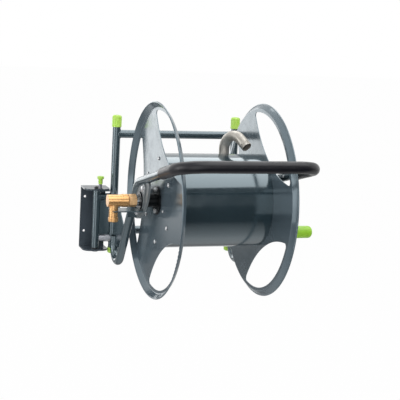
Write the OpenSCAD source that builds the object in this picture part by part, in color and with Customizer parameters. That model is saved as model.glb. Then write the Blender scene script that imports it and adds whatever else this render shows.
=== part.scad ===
// Wall-hung swivelling hose reel. Millimetres. Origin: centre of the four wall
// holes on the wall plane; -Y points away from the wall, +Z up, +X to the right.

/* [Wall bracket] */
// width of the bracket along the wall
bracket_w = 70; // [66:0.5:70.5]
// how far the two flanges stand out from the wall
bracket_depth = 66; // [64:1:80]
// upper face of the top flange above the hole centre
bracket_top = 79; // [70:1:90]
// lower face of the bottom flange below the hole centre
bracket_bottom = 94; // [88:0.5:110]
// sheet thickness of the bracket
bracket_t = 4; // [3:0.5:5]
// radius of the flange front corners
bracket_corner = 20; // [12:1:24]
// sideways pitch of the wall holes
hole_pitch_x = 46; // [40:1:50]
// upright pitch of the wall holes
hole_pitch_z = 97; // [90:1:105]
// diameter of the wall holes
hole_d = 6.5; // [5:0.5:9]

/* [Swivel] */
// pivot distance in front of the wall
pivot_out = 46; // [42:1:50]
// pivot bolt diameter
pivot_d = 10; // [8:1:12]
// swivel tube outside diameter
swivel_d = 20; // [18:1:22]
// radial running clearance of the turning fits
run_gap = 0.08; // [0.03:0.01:0.1]
// clearance between the swivel and the flanges
flange_gap = 0.3; // [0.2:0.1:0.6]
// lock plunger offset to the right of the pivot
lock_x = 6; // [4:0.5:8]
// lock plunger offset in front of the pivot
lock_y = 13.5; // [12.5:0.5:15]
// lock pin diameter
lock_d = 6; // [5:0.5:7]
// index plate thickness
index_t = 3; // [2:0.5:4]

/* [Frame] */
// outside diameter of all frame tubes
tube_d = 22; // [18:1:23]
// wall thickness of the frame tubes
tube_t = 1.6; // [1.2:0.1:2.5]
// centre distance of the two side tubes
frame_w = 345; // [335:1:360]
// pivot to the centre of the near post
post_off = 49; // [48:0.5:55]
// upper stub diameter
upper_stub_d = 19; // [16:0.5:20]
// upper stub depth below the drum axis
upper_stub_down = 42; // [38:0.5:46]
// lower stub diameter at the swivel
lower_stub_d = 16; // [14:0.5:18]
// lower stub diameter at the post
lower_wide_d = 20; // [18:0.5:22]
// distance from the pivot where the lower stub widens
lower_step = 25.5; // [22:0.5:30]
// lower stub depth below the drum axis
lower_stub_down = 158.5; // [154:0.5:162]
// top of the posts above the drum axis, caps included
post_up = 184; // [170:1:200]
// bottom of the posts below the drum axis, caps included
post_down = 201; // [195:1:206]
// end cap outside diameter
cap_d = 26.5; // [25:0.5:27]
// top end cap length
cap_h = 32; // [25:1:40]
// foot end cap length
foot_cap_h = 16; // [14:0.5:16]
// top bar height above the drum axis
top_bar_up = 132.5; // [120:0.5:145]
// lower bar depth below the drum axis
low_bar_down = 136.5; // [130:0.5:150]
// drum axis to the plane of the posts
post_back = 292; // [288:1:300]
// drum axis height above the centre of the wall holes
axis_up = 97; // [90:1:105]
// front bar distance in front of the drum axis
bar_front = 305; // [290:1:320]
// front bar height above the drum axis
bar_up = 131.5; // [120:0.5:140]
// slope of the side arms in degrees
arm_slope = 14.7; // [12:0.1:17]
// slope of the rear legs in degrees
leg_slope = 57; // [55:0.5:59]
// distance of the arm and leg corner behind the drum axis
knee_back = 49; // [45:1:53]
// bend radius at the knee and at the front corners
bend_r = 60; // [50:1:70]
// bend radius of the foot loop
foot_r = 38; // [36:1:40]
// straight back leg above the foot loop
leg_up = 24; // [20:1:28]
// foam grip outside diameter
foam_d = 29.8; // [28:0.2:36]
// distance of the rear foam ends in front of the drum axis
foam_start = 161; // [150:1:180]
// thickness of the plate between the swivel and the near post
plate_t = 4; // [3:0.5:6]
// hub plate thickness
gusset_t = 6; // [4:0.5:8]
// hub plate reach in front of the drum axis
gusset_reach = 56.5; // [55:0.5:58]
// side web thickness
web_t = 3; // [2:0.5:5]
// depth of the lower end of the side web
web_low = 112; // [108:1:116]
// depth of the upper rear corner of the side web
web_high = 16.7; // [14:0.1:20]
// distance of the bearing bolts from the drum axis
lobe = 42.7; // [42:0.1:44]
// bearing boss radius
boss_r = 23; // [22:0.5:24]

/* [Drum] */
// outside diameter of the two discs
disc_d = 500; // [480:2:520]
// width between the disc faces
drum_w = 267; // [255:1:272]
// disc sheet thickness
disc_t = 2; // [1.5:0.1:3]
// radial width of the flared lip
lip_w = 13; // [8:1:18]
// how far the lip flares outward
lip_out = 12.2; // [8:0.2:13]
// outside diameter of the core
core_d = 239; // [225:1:250]
// core wall thickness
core_t = 2.5; // [2:0.1:4]
// width of the right core cup
cup_w = 43.5; // [35:0.5:50]
// drum shaft diameter
shaft_d = 26.9; // [25:0.1:28]
// hub sleeve diameter
hub_d = 34; // [32:0.5:38]
// hub flange diameter
hub_flange_d = 72; // [68:1:80]

/* [Water path] */
// gooseneck pipe outside diameter
neck_d = 26.9; // [25:0.1:28]
// gooseneck bend radius
neck_r = 38; // [34:1:42]
// gooseneck turn in degrees
neck_turn = 124; // [105:1:130]
// direction of the gooseneck mouth seen from above
neck_head = 67; // [55:1:75]
// straight end of the gooseneck
neck_end = 30; // [20:1:32]
// gooseneck place to the right of the drum centre
neck_x = 44; // [30:1:50]
// elbow body diameter
elbow_d = 30.5; // [29:0.5:33]
// elbow leg diameter
elbow_leg_d = 22.4; // [20:0.2:23]
// drum centre to the elbow leg
elbow_x = 247.8; // [246:0.2:255]
// drum axis to the lower end of the elbow
elbow_down = 53; // [48:1:60]
// union nut width across flats
nut_af = 29; // [28:0.5:32]

/* [Crank] */
// crank radius
crank_r = 119.6; // [100:1:125]
// crank direction below the front horizontal in degrees
crank_a = 33.3; // [25:0.1:45]
// crank bar width
crank_w = 22; // [18:1:25]
// crank bar thickness
crank_t = 5; // [4:0.5:6]
// crank knob diameter
knob_d = 31.5; // [28:0.5:34]
// crank knob length
knob_l = 53.6; // [45:0.2:60]

/* [Fasteners] */
// disc screw diameter
screw_d = 5; // [4:0.5:6]
// radius of the ring of six disc screws
screw_ring = 107; // [100:1:109]
// bearing bolt diameter
bolt_d = 8; // [6:1:9]

/* [Hidden] */
$fn = 96;

fit = 0.05;
tr = tube_d / 2;
gap = 0.2;
fw = frame_w / 2;
axis_x = post_off + fw;
axis_y = -pivot_out - post_back;
leg_back = post_back - 2 * tr - 1.2;
foot_c = leg_back - foot_r;
knee_z = bar_up - tan(arm_slope) * (knee_back + bar_front);
knee_half = (leg_slope - arm_slope) / 2;
knee_tan = bend_r * tan(knee_half);
foot_cz = knee_z - ((foot_c - knee_back) * sin(leg_slope) - foot_r) / cos(leg_slope);
stub_z = axis_up - lower_stub_down;
leg_side = (tr + gap) / sin(leg_slope);
leg_len = norm([foot_c - foot_r * sin(leg_slope) - knee_back,
  foot_cz - foot_r * cos(leg_slope) - knee_z]);
splice = foam_start + 9;
knee_cy = knee_back - knee_tan * cos(arm_slope) - bend_r * sin(arm_slope);
knee_cz = knee_z + knee_tan * sin(arm_slope) - bend_r * cos(arm_slope);
arm_len = (bar_front + knee_back) / cos(arm_slope);
splice_u = (bar_front - splice) / cos(arm_slope);
foam_u = (bar_front - foam_start) / cos(arm_slope);
flange_in = bracket_top - bracket_t;
floor_in = -bracket_bottom + bracket_t;
index_top = flange_in - 1.2;
swivel_top = index_top - index_t;
swivel_bot = floor_in + flange_gap + 2.3;
disc_r = disc_d / 2;
dx = drum_w / 2;
root_r = disc_r - lip_w;
core_r = core_d / 2;
sr = shaft_d / 2;
gx = fw + gusset_t / 2;
shaft_shoulder = fw + 14;
nr = neck_d / 2;
spigot_r = 10;
neck_y = 20;
open_r = 0.912 * disc_r;
open_far = 1.77 * disc_r;
open_cut = 1.25 * disc_r;
open_c = 8;
fy = ((open_r - open_c) * (open_r - open_c) + open_far * open_far
  - (open_cut - open_c) * (open_cut - open_c)) / (2 * open_far);
fz = sqrt((open_r - open_c) * (open_r - open_c) - fy * fy);
shelf_z = -26.7;
lobe_a = -53.8;
crank_y = -crank_r * cos(crank_a);
crank_z = -crank_r * sin(crank_a);
crank_x = fw + 16.5;
knob_x = crank_x + crank_t + 2.7;

paint = [0.23, 0.25, 0.28];
green = [0.45, 0.72, 0.12];
black = [0.06, 0.06, 0.07];
zinc = [0.75, 0.76, 0.78];
brass = [0.80, 0.62, 0.25];
steel = [0.70, 0.71, 0.73];

module hub() translate([axis_x, axis_y, axis_up]) children();
module swing() translate([0, -pivot_out, 0]) children();
module yz(x) translate([x, 0, 0]) rotate([90, 0, 90]) children();
module along(x) translate([x, 0, 0]) rotate([0, 90, 0]) children();
module rod(x0, x1, r) along(x0) cylinder(h = x1 - x0, r = r);
module hex(af, h) cylinder(h = h, r = af / 2 / cos(30), $fn = 6);
module both() { children(); mirror([1, 0, 0]) children(); }
// one length of tube along +z, or one bend about z starting on the x axis
module pipe(l, r, t) difference() {
  cylinder(h = l, r = r);
  translate([0, 0, -1]) cylinder(h = l + 2, r = r - t);
}
module bend(rb, r, t, a) rotate_extrude(angle = a) translate([rb, 0]) difference() {
  circle(r = r);
  circle(r = r - t);
}
// thin bead that joins a bend to the length after it
module bead(r, t) translate([0, 0, -0.4]) difference() {
  cylinder(h = 1, r = r + 0.1);
  translate([0, 0, -1]) cylinder(h = 3, r = r - t - 0.1);
}
module pipe_on(l, r, t) {
  translate([0, 0, 0.2]) pipe(l - 0.2, r, t);
  bead(r, t);
}
// side tube in the plane x = 0: back leg, foot loop, leg, knee and arm
module side_tube() yz(0) translate([foot_c, foot_cz]) rotate([0, 0, -90 - leg_slope]) {
  bend(foot_r, tr, tube_t, 90 + leg_slope);
  rotate([0, 0, 90 + leg_slope]) translate([foot_r, 0, 0]) rotate([-90, 0, 0])
    pipe_on(leg_up, tr, tube_t);
  translate([foot_r, 0, 0]) rotate([90, 0, 0]) pipe(leg_len - knee_tan, tr, tube_t);
  translate([foot_r, knee_tan - leg_len, 0]) translate([bend_r, 0, 0]) rotate([0, 0, 180]) {
    bend(bend_r, tr, tube_t, leg_slope - arm_slope);
    rotate([0, 0, leg_slope - arm_slope]) translate([bend_r, 0, 0]) rotate([-90, 0, 0])
      pipe_on(arm_len - splice_u - knee_tan - 0.2, tr, tube_t);
  }
}
// handle path: x to the right, y back along the arms, in the sloping plane
module handle_path(r, u) translate([0, -bar_front, bar_up]) rotate([-arm_slope, 0, 0]) {
  rod(bend_r - fw, fw - bend_r, r);
  both() {
    translate([fw - bend_r, bend_r, 0]) rotate([0, 0, -90])
      rotate_extrude(angle = 90) translate([bend_r, 0]) circle(r = r);
    translate([fw, bend_r, 0]) rotate([-90, 0, 0]) cylinder(h = u - bend_r, r = r);
  }
}
module post() translate([0, post_back, 4 - post_down]) difference() {
  cylinder(h = post_up + post_down - 8, r = tr);
  translate([0, 0, 2]) cylinder(h = post_up + post_down - 12, r = tr - tube_t);
}
module cap(h) difference() {
  rotate_extrude() union() {
    square([cap_d / 2, h - 7]);
    square([cap_d / 2 - 7, h]);
    intersection() {
      translate([cap_d / 2 - 7, h - 7]) circle(r = 7);
      square([cap_d, h + 1]);
    }
  }
  translate([0, 0, -1]) cylinder(h = h - 2.8, r = tr + fit);
}
module cross_bar(z) difference() {
  translate([0, post_back, z]) difference() {
    rod(-fw, fw, tr);
    rod(-fw - 1, fw + 1, tr - tube_t);
  }
  both() translate([fw, post_back, z - 20]) cylinder(h = 40, r = tr + gap);
}
module gusset() difference() {
  yz(-gusset_t / 2) linear_extrude(height = gusset_t) polygon(concat([
    [-49 * gs, arm_under(-49 * gs)]],
    [for (p = [[-54, 50.5], [-56.5, 45], [-55.5, 36], [-52, 23], [-46, 8], [-38, -5],
      [-27, -17], [-14, -28], [-1, -39], [11, -46], [22, -50.5], [40, -54], [59, -56],
      [78, -58]]) p * gs],
    [[leg_y(-60 * gs) - leg_side, -60 * gs]],
    [for (k = [0:8]) let (t = 90 - leg_slope + (leg_slope - arm_slope) * k / 8)
      [knee_cy + (bend_r - tr - gap) * cos(t), knee_cz + (bend_r - tr - gap) * sin(t)]]));
  rod(-gusset_t, gusset_t, sr + 1.5);
  lobes() rod(-gusset_t, gusset_t, bolt_d / 2 + fit);
}
gs = gusset_reach / 56.5;
function arm_under(y) = arm_z(y) - (tr + gap) / cos(arm_slope);
function arm_z(y) = bar_up - tan(arm_slope) * (y + bar_front);
function leg_y(z) = knee_back + (knee_z - z) / tan(leg_slope);
module lobes() for (s = [-1, 1])
  translate([0, s * lobe * cos(lobe_a), s * lobe * sin(lobe_a)]) children();
module web() yz(-web_t / 2) linear_extrude(height = web_t) polygon([
  [leg_y(-web_low) + leg_side, -web_low], [post_back - tr - gap, -web_high],
  [post_back - tr - gap, foot_cz + leg_up + gap],
  [leg_back - tr - gap, foot_cz + leg_up + gap],
  [leg_back - tr - gap, foot_cz], [leg_y(foot_cz) + leg_side, foot_cz]]);
module bearing() difference() {
  union() {
    yz(gusset_t / 2) linear_extrude(height = 4) rotate(lobe_a) {
      circle(r = boss_r + 2);
      for (s = [-1, 1]) translate([s * lobe, 0]) circle(r = 11);
      polygon([for (p = [[1, 1], [-1, 1], [-1, -1], [1, -1]], k = [0, 1])
        (p[0] * p[1] > 0 ? 1 - k : k) == 1
          ? [p[0] * (lobe + 11 * lc), p[1] * 11 * ls]
          : [p[0] * (boss_r + 2) * lc, p[1] * (boss_r + 2) * ls]]);
    }
    rod(gusset_t / 2 + 3, gusset_t / 2 + 7.9, boss_r);
  }
  rod(0, 20, sr + run_gap);
  lobes() rod(0, 20, bolt_d / 2 + fit);
}
lc = (boss_r - 9) / lobe;
ls = sqrt(1 - lc * lc);
module bolt(l) { along(0) hex(13 * bolt_d / 8, 5.3); rod(-l, 0, bolt_d / 2); }
module opening() union() {
  difference() {
    intersection() {
      circle(r = open_r);
      translate([open_far, 0]) circle(r = open_cut);
    }
    for (s = [-1, 1]) polygon([[fy, s * fz],
      [fy * 1.2, s * fz * 1.2], [fy, s * fz * 1.4],
      [open_far + (fy - open_far) * 1.2, s * fz * 1.2]]);
  }
  for (s = [-1, 1]) translate([fy, s * fz]) circle(r = open_c);
}
module disc() difference() {
  along(dx) rotate_extrude() union() {
    polygon([[sr + fit, 0], [root_r - 2, 0], [root_r + 1, 1],
      [disc_r - 2.6, lip_out - 1.2], [disc_r - 4, lip_out + 0.6],
      [root_r + 0.2, disc_t + 1.2], [root_r - 2.6, disc_t], [sr + fit, disc_t]]);
    translate([disc_r - 2.2, lip_out - 0.2]) circle(r = 2.2);
  }
  for (k = [0:2]) yz(dx - 3) linear_extrude(height = disc_t + 6)
    rotate(120 - 120 * k) opening();
  screw_spots() rod(dx - 1, dx + disc_t + 1, screw_d / 2 + fit);
  stud_spots() rod(dx - 1, dx + disc_t + 1, 2 + fit);
  bolt_spots() rod(dx - 1, dx + disc_t + 1, 3 + fit);
}
module screw_spots() for (k = [0:5])
  translate([0, -screw_ring * cos(30 + 60 * k), screw_ring * sin(30 + 60 * k)]) children();
module stud_spots() for (a = [161, -18.5])
  translate([0, -58 * cos(a), 58 * sin(a)]) children();
module bolt_spots() for (s = [-1, 1]) translate([0, 0, s * 27.5]) children();
module end_plate() difference() {
  rod(dx - 3, dx, core_r - core_t + 1);
  rod(dx - 4, dx + 1, sr + fit);
  screw_spots() rod(dx - 4, dx + 1, screw_d / 2 + fit);
  stud_spots() rod(dx - 4, dx + 1, 2 + fit);
  bolt_spots() rod(dx - 4, dx + 1, 3 + fit);
}
module pan(r, l, hr, hh) {
  rod(-l, 0, r);
  along(0) rotate_extrude() intersection() {
    square([hr, hh]);
    translate([0, -hr * 1.6 + hh]) circle(r = hr * 1.6);
  }
}
// Fixed to the wall
module wall_bracket() color(paint) difference() {
  union() {
    translate([-bracket_w / 2, -bracket_t, -bracket_bottom])
      cube([bracket_w, bracket_t, bracket_top + bracket_bottom]);
    for (z = [flange_in, -bracket_bottom]) translate([0, 0, z])
      linear_extrude(height = bracket_t) {
        translate([-bracket_w / 2, bracket_corner - bracket_depth])
          square([bracket_w, bracket_depth - bracket_corner]);
        translate([bracket_corner - bracket_w / 2, -bracket_depth])
          square([bracket_w - 2 * bracket_corner, bracket_depth]);
        for (s = [-1, 1])
          translate([s * (bracket_w / 2 - bracket_corner), bracket_corner - bracket_depth])
            circle(r = bracket_corner);
      }
  }
  for (x = [-1, 1], z = [-1, 1])
    translate([x * hole_pitch_x / 2, 1, z * hole_pitch_z / 2]) rotate([90, 0, 0])
      cylinder(h = bracket_t + 2, r = hole_d / 2);
  swing() translate([0, 0, -bracket_bottom - 1])
    cylinder(h = bracket_top + bracket_bottom + 2, r = pivot_d / 2 + fit);
  lock_spot() translate([0, 0, flange_in - 1])
    cylinder(h = bracket_t + 2, r = lock_d / 2 + 3 + fit);
}
module lock_spot() swing() translate([lock_x, -lock_y, 0]) children();
module pivot_bolt() color(black) swing() difference() {
  union() {
    translate([0, 0, -bracket_bottom - 5.5])
      cylinder(h = bracket_top + bracket_bottom + 6, r = pivot_d / 2);
    translate([0, 0, bracket_top]) rotate_extrude() intersection() {
      square([7.8, 5.5]);
      translate([0, -6.5]) circle(r = 12);
    }
  }
  translate([0, 0, bracket_top + 2.2]) hex(5, 6);
}
module pivot_nut() color(zinc) swing() difference() {
  translate([0, 0, -bracket_bottom - 4.8]) hex(pivot_d * 1.7, 4.8);
  translate([0, 0, -bracket_bottom - 10]) cylinder(h = 11, r = pivot_d / 2 + fit);
}
module plunger_sleeve() color(zinc) lock_spot() translate([0, 0, flange_in])
  difference() {
    union() {
      cylinder(h = bracket_t + 2, r = lock_d / 2 + 3);
      translate([0, 0, bracket_t]) cylinder(h = 2.5, r = 6.5);
      translate([0, 0, bracket_t]) cylinder(h = 16, r = 4.7);
    }
    translate([0, 0, -1]) cylinder(h = 22, r = lock_d / 2 + run_gap);
  }

// Lock plunger, drawn parked: pin just above the index plate
module plunger_pin() color(steel) lock_spot()
  translate([0, 0, index_top + 0.4])
    cylinder(h = bracket_top + 30.4 - index_top, r = lock_d / 2);
module plunger_knob() color(green) lock_spot() translate([0, 0, bracket_top])
  difference() {
    union() {
      translate([0, 0, 13.5]) cylinder(h = 15.5, r = 6);
      translate([0, 0, 27]) rotate_extrude() union() {
        square([6.8, 8]);
        translate([0, 2.5]) square([9.3, 3]);
        translate([6.8, 2.5]) circle(r = 2.5);
        translate([6.8, 5.5]) circle(r = 2.5);
      }
    }
    translate([0, 0, 12.5]) cylinder(h = 12, r = 5);
    translate([0, 0, 12.5]) cylinder(h = 18.5, r = lock_d / 2 + fit);
  }

// Swinging frame
module swivel_tube() color(paint) swing() translate([0, 0, swivel_bot])
  difference() {
    cylinder(h = swivel_top - swivel_bot, r = swivel_d / 2);
    translate([0, 0, -1]) cylinder(h = swivel_top - swivel_bot + 2, r = swivel_d / 2 - 2);
  }
module swivel_bushes() color(black) swing() difference() {
  union() {
    translate([0, 0, index_top]) cylinder(h = flange_in - flange_gap - index_top, r = swivel_d / 2);
    translate([0, 0, index_top - 20]) cylinder(h = 20.5, r = swivel_d / 2 - 2 - fit);
    translate([0, 0, swivel_bot - 2.3]) cylinder(h = 2.3, r = swivel_d / 2);
    translate([0, 0, swivel_bot - 1]) cylinder(h = 19, r = swivel_d / 2 - 2 - fit);
  }
  translate([0, 0, floor_in]) cylinder(h = flange_in - floor_in, r = pivot_d / 2 + run_gap);
}
module index_plate() color(paint) swing() translate([0, 0, swivel_top])
  difference() {
    linear_extrude(height = index_t) difference() {
      union() {
        circle(r = 12);
        intersection() {
          circle(r = 21.5);
          polygon([[0, 0], [-5, -30], [30, -30], [30, 30], [15, 30]]);
        }
        translate([0, -10]) square([post_off, 20]);
      }
      translate([post_off, 0]) circle(r = tr + gap);
    }
    translate([0, 0, -1]) cylinder(h = index_t + 2, r = swivel_d / 2 - 2);
    for (a = [0, 90]) rotate([0, 0, a]) translate([lock_x, -lock_y, -1])
      cylinder(h = index_t + 2, r = lock_d / 2 + 0.3);
  }
// cross tube from the swivel to the near post, d wide at the swivel and w at the post
module stub(z, d, w) color(paint) swing() translate([0, 0, z]) difference() {
  union() {
    rod(0, post_off, d / 2);
    rod(lower_step, post_off, w / 2);
  }
  rod(-1, post_off + 1, d / 2 - 2.5);
  translate([0, 0, -w]) cylinder(h = 2 * w, r = swivel_d / 2 + gap);
  translate([post_off, 0, -w]) cylinder(h = 2 * w, r = tr + gap);
}
module upper_stub() stub(axis_up - upper_stub_down, upper_stub_d, upper_stub_d);
module lower_stub() stub(stub_z, lower_stub_d, lower_wide_d);
module hinge_plate() color(paint) swing()
  translate([swivel_d / 2 + gap, -plate_t / 2, stub_z + lower_wide_d / 2 + gap])
    cube([post_off - tr - swivel_d / 2 - 2 * gap, plate_t,
      lower_stub_down - upper_stub_down - (upper_stub_d + lower_wide_d) / 2 - 2 * gap]);
module left_post() color(paint) hub() translate([-fw, 0, 0]) post();
module right_post() color(paint) hub() translate([fw, 0, 0]) post();
module post_caps() color(green) hub() both() translate([fw, post_back, 0]) {
  translate([0, 0, post_up - cap_h]) cap(cap_h);
  translate([0, 0, foot_cap_h - post_down]) mirror([0, 0, 1]) cap(foot_cap_h);
}
module top_bar() color(paint) hub() cross_bar(top_bar_up);
module lower_bar() color(paint) hub() cross_bar(-low_bar_down);
module left_side_tube() color(paint) hub() translate([-fw, 0, 0]) side_tube();
module right_side_tube() color(paint) hub() translate([fw, 0, 0]) difference() {
  side_tube();
  arm_spots() rod(-tr - 1, 0, 1.8 + fit);
}
module arm_spots() for (y = [-70, -103]) translate([0, y, arm_z(y)]) children();
module arm_screws() color(zinc) hub() translate([fw, 0, 0]) arm_spots()
  mirror([1, 0, 0]) translate([tr + 0.1, 0, 0]) pan(1.8, 5, 3.4, 2);
module handle_tube() color(paint) hub() difference() {
  handle_path(tr, splice_u);
  handle_path(tr - tube_t, splice_u + 1);
}
module foam_grip() color(black) hub() difference() {
  handle_path(foam_d / 2, foam_u);
  handle_path(tr + gap, foam_u + 1);
}
module left_gusset() color(paint) hub() translate([-fw, 0, 0]) gusset();
module right_gusset() color(paint) hub() translate([fw, 0, 0]) gusset();
module left_web() color(paint) hub() translate([-fw, 0, 0]) web();
module right_web() color(paint) hub() translate([fw, 0, 0]) web();
module left_bearing() color(black) hub() mirror([1, 0, 0]) translate([fw, 0, 0]) bearing();
module right_bearing() color(black) hub() translate([fw, 0, 0]) bearing();
module bearing_bolts() color(zinc) hub() both() lobes()
  translate([gx + 4, 0, 0]) bolt(gusset_t + 12);
module bearing_nuts() color(zinc) hub() both() lobes()
  difference() {
    along(gx - gusset_t - 6.2) hex(13 * bolt_d / 8, 6.2);
    rod(gx - 30, gx, bolt_d / 2 + fit);
  }
module elbow_bracket() color(paint) hub() difference() {
  union() {
    translate([0, 0, shelf_z]) linear_extrude(height = 3) polygon([
      [-elbow_x - 5.2, -20], [-gx, -20], [-gx, -10], [-gx - 9.2, -10],
      [-gx - 9.2, 38.5], [-gx, 38.5], [-gx, 42], [-gx - 26, 42], [-gx - 30, 28],
      [-elbow_x - 5.2, 28]]);
    translate([-gx - 26, 39, shelf_z - 24]) cube([26, 3, 25]);
  }
  translate([-elbow_x, 0, shelf_z - 1]) cylinder(h = 5, r = elbow_leg_d / 2 + gap);
  translate([-elbow_x - elbow_leg_d, -elbow_leg_d / 2 - gap, shelf_z - 1])
    cube([elbow_leg_d, elbow_leg_d + 2 * gap, 5]);
}
module brass_elbow() color(brass) hub() difference() {
  union() {
    rod(-elbow_x - 16.6, -elbow_x + 15.8, elbow_d / 2);
    rod(-elbow_x, -elbow_x + 45, 13);
    rod(-elbow_x + 15.8, -elbow_x + 21, 15.8);
    rod(-elbow_x + 21, -elbow_x + 34.4, 16.6);
    translate([-elbow_x, 0, -elbow_down + 11]) cylinder(h = elbow_down - 11, r = elbow_leg_d / 2);
  }
  rod(-elbow_x + 19, -elbow_x + 46, spigot_r + run_gap);
  rod(-elbow_x, -elbow_x + 20, 7.5);
  translate([-elbow_x, 0, -elbow_down - 1]) cylinder(h = elbow_down + 1, r = 7.5);
}
module inlet_collar() color(brass) hub() translate([-elbow_x, 0, -elbow_down])
  difference() {
    union() {
      cylinder(h = 11, r = 12.2);
      translate([0, 0, 1.5]) cylinder(h = 3, r = 12.9);
      translate([0, 0, 7]) cylinder(h = 2.5, r = 12.9);
    }
    translate([0, 0, -1]) cylinder(h = 13, r = 7.5);
  }
module union_nut() color(brass) hub() difference() {
  along(-shaft_shoulder - 25) hex(nut_af, 20.7);
  rod(-shaft_shoulder - 26, -shaft_shoulder - 15, 13 + fit);
  rod(-shaft_shoulder - 26, -shaft_shoulder, spigot_r + 0.5);
}

// Drum
module left_disc() color(paint) hub() mirror([1, 0, 0]) disc();
module right_disc() color(paint) hub() disc();
module core_shell() color(paint) hub() {
  mirror([1, 0, 0]) end_plate();
  difference() {
    rod(-dx, dx - cup_w, core_r);
    rod(-dx - 1, dx - cup_w + 1, core_r - core_t);
    translate([neck_x, neck_y, 0]) cylinder(h = core_r + 20, r = nr + 0.5);
  }
}
module core_cup() color(paint) hub() {
  end_plate();
  difference() {
    union() {
      rod(dx - cup_w + 0.2, dx, core_r);
      rod(dx - cup_w - 20, dx - cup_w + 5, core_r - core_t - fit);
    }
    rod(dx - cup_w - 21, dx + 1, core_r - 2 * core_t);
    translate([neck_x, neck_y, 0]) cylinder(h = core_r + 20, r = nr + 0.5);
  }
}
module drum_shaft() color(steel) hub() difference() {
  union() {
    rod(-shaft_shoulder - 4, crank_x - 0.2, sr);
    rod(-shaft_shoulder - 38, 0, spigot_r);
    rod(0, crank_x + 18, 8);
  }
  rod(-shaft_shoulder - 39, neck_x + 20, 6.5);
  translate([neck_x, 0, 0]) rotate([-90, 0, 0]) cylinder(h = 20, r = 6.5);
  for (x = [-30, -34.5]) along(-shaft_shoulder + x) difference() {
    cylinder(h = 2.4, r = spigot_r + 1);
    translate([0, 0, -1]) cylinder(h = 5, r = spigot_r - 2.05);
  }
}
module o_rings() color(black) hub() for (x = [-30, -34.5])
  along(-shaft_shoulder + x + 1.2) rotate_extrude() translate([spigot_r - 1, 0]) circle(r = 1);
module half_hub() difference() {
  union() {
    rod(dx + disc_t, dx + disc_t + 4, hub_flange_d / 2);
    rod(dx + disc_t, gx - gusset_t - 1.5, hub_d / 2);
  }
  rod(dx, gx, sr + fit);
  bolt_spots() rod(dx, dx + 10, 3 + fit);
}
module left_hub() color(black) hub() mirror([1, 0, 0]) half_hub();
module right_hub() color(black) hub() half_hub();
module hub_bolts() color(zinc) hub() both() bolt_spots()
  translate([dx + disc_t + 4, 0, 0]) { rod(-12, 0, 3); along(0) hex(10, 4); }
module disc_screws() color(zinc) hub() both() screw_spots()
  translate([dx + disc_t, 0, 0]) pan(screw_d / 2, 8, screw_d * 1.1, 3.2);
module stud_screws() color(zinc) hub() both() stud_spots()
  translate([dx + disc_t, 0, 0]) pan(2, 7, 3.8, 2.2);
module feed_block() color(brass) hub() difference() {
  union() {
    rod(neck_x - 20, neck_x + 20, sr + 8);
    translate([neck_x, neck_y, -sr - 5]) cylinder(h = 42 + sr, r = nr + 4);
    translate([neck_x - 15, 0, -15]) cube([30, neck_y, 30]);
  }
  rod(neck_x - 21, neck_x + 21, sr + fit);
  translate([neck_x, 0, 0]) rotate([-90, 0, 0]) cylinder(h = neck_y, r = 6.5);
  translate([neck_x, neck_y, 0]) {
    cylinder(h = 30, r = 6.5);
    translate([0, 0, 14.8]) cylinder(h = 40, r = nr + fit);
  }
  translate([neck_x, neck_y, 0]) sphere(r = 6.5);
}
module gooseneck() color(steel) hub() translate([neck_x, neck_y, core_r + 11])
  rotate([90, 0, -neck_head]) translate([neck_r, 0, 0]) mirror([1, 0, 0]) {
    bend(neck_r, nr, 1.5, neck_turn);
    translate([neck_r, 0, 0]) rotate([90, 0, 0]) pipe(core_r - 4, nr, 1.5);
    rotate([0, 0, neck_turn]) translate([neck_r, 0, 0]) rotate([-90, 0, 0])
      pipe_on(neck_end, nr, 1.5);
  }

// Crank
module crank_arm() color(paint) hub() difference() {
  union() {
    rod(crank_x, crank_x + crank_t, 18);
    rotate([crank_a, 0, 0]) translate([crank_x, -crank_r, -crank_w / 2])
      cube([crank_t, crank_r, crank_w]);
    crank_spot() rod(crank_x, crank_x + crank_t, crank_w / 2 + 2);
  }
  rod(crank_x - 1, crank_x + crank_t + 1, 8 + fit);
  crank_spot() rod(crank_x - 1, crank_x + crank_t + 1, 4 + fit);
}
module crank_spot() translate([0, crank_y, crank_z]) children();
module crank_nut() color(zinc) hub() difference() {
  union() {
    rod(crank_x + crank_t, crank_x + crank_t + 1.5, 15);
    along(crank_x + crank_t + 1.5) hex(24, 9);
  }
  rod(crank_x, crank_x + 30, 8 + fit);
}
module knob_bolt() color(zinc) hub() crank_spot() {
  rod(crank_x - 3, crank_x + crank_t + 1, 4);
  rod(crank_x + crank_t, knob_x + knob_l - 9, 5);
  rod(crank_x + crank_t, crank_x + crank_t + 2.4, 9);
}
module knob_bolt_nut() color(zinc) hub() crank_spot() difference() {
  along(crank_x - 3) hex(13, 3);
  rod(crank_x - 10, crank_x + 1, 4 + fit);
}
module crank_knob() color(green) hub() crank_spot() difference() {
  along(knob_x) rotate_extrude() union() {
    translate([0, 2]) square([knob_d / 2, knob_l - 12]);
    square([knob_d / 2 - 2, knob_l - 5]);
    translate([knob_d / 2 - 2, 2]) intersection() {
      circle(r = 2);
      translate([-2, -3]) square([6, 6]);
    }
    square([knob_d / 2 - 10, knob_l]);
    translate([knob_d / 2 - 10, knob_l - 10]) intersection() {
      circle(r = 10);
      square([11, 11]);
    }
  }
  rod(knob_x - 1, knob_x + knob_l - 8.5, 5 + run_gap);
}

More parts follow.
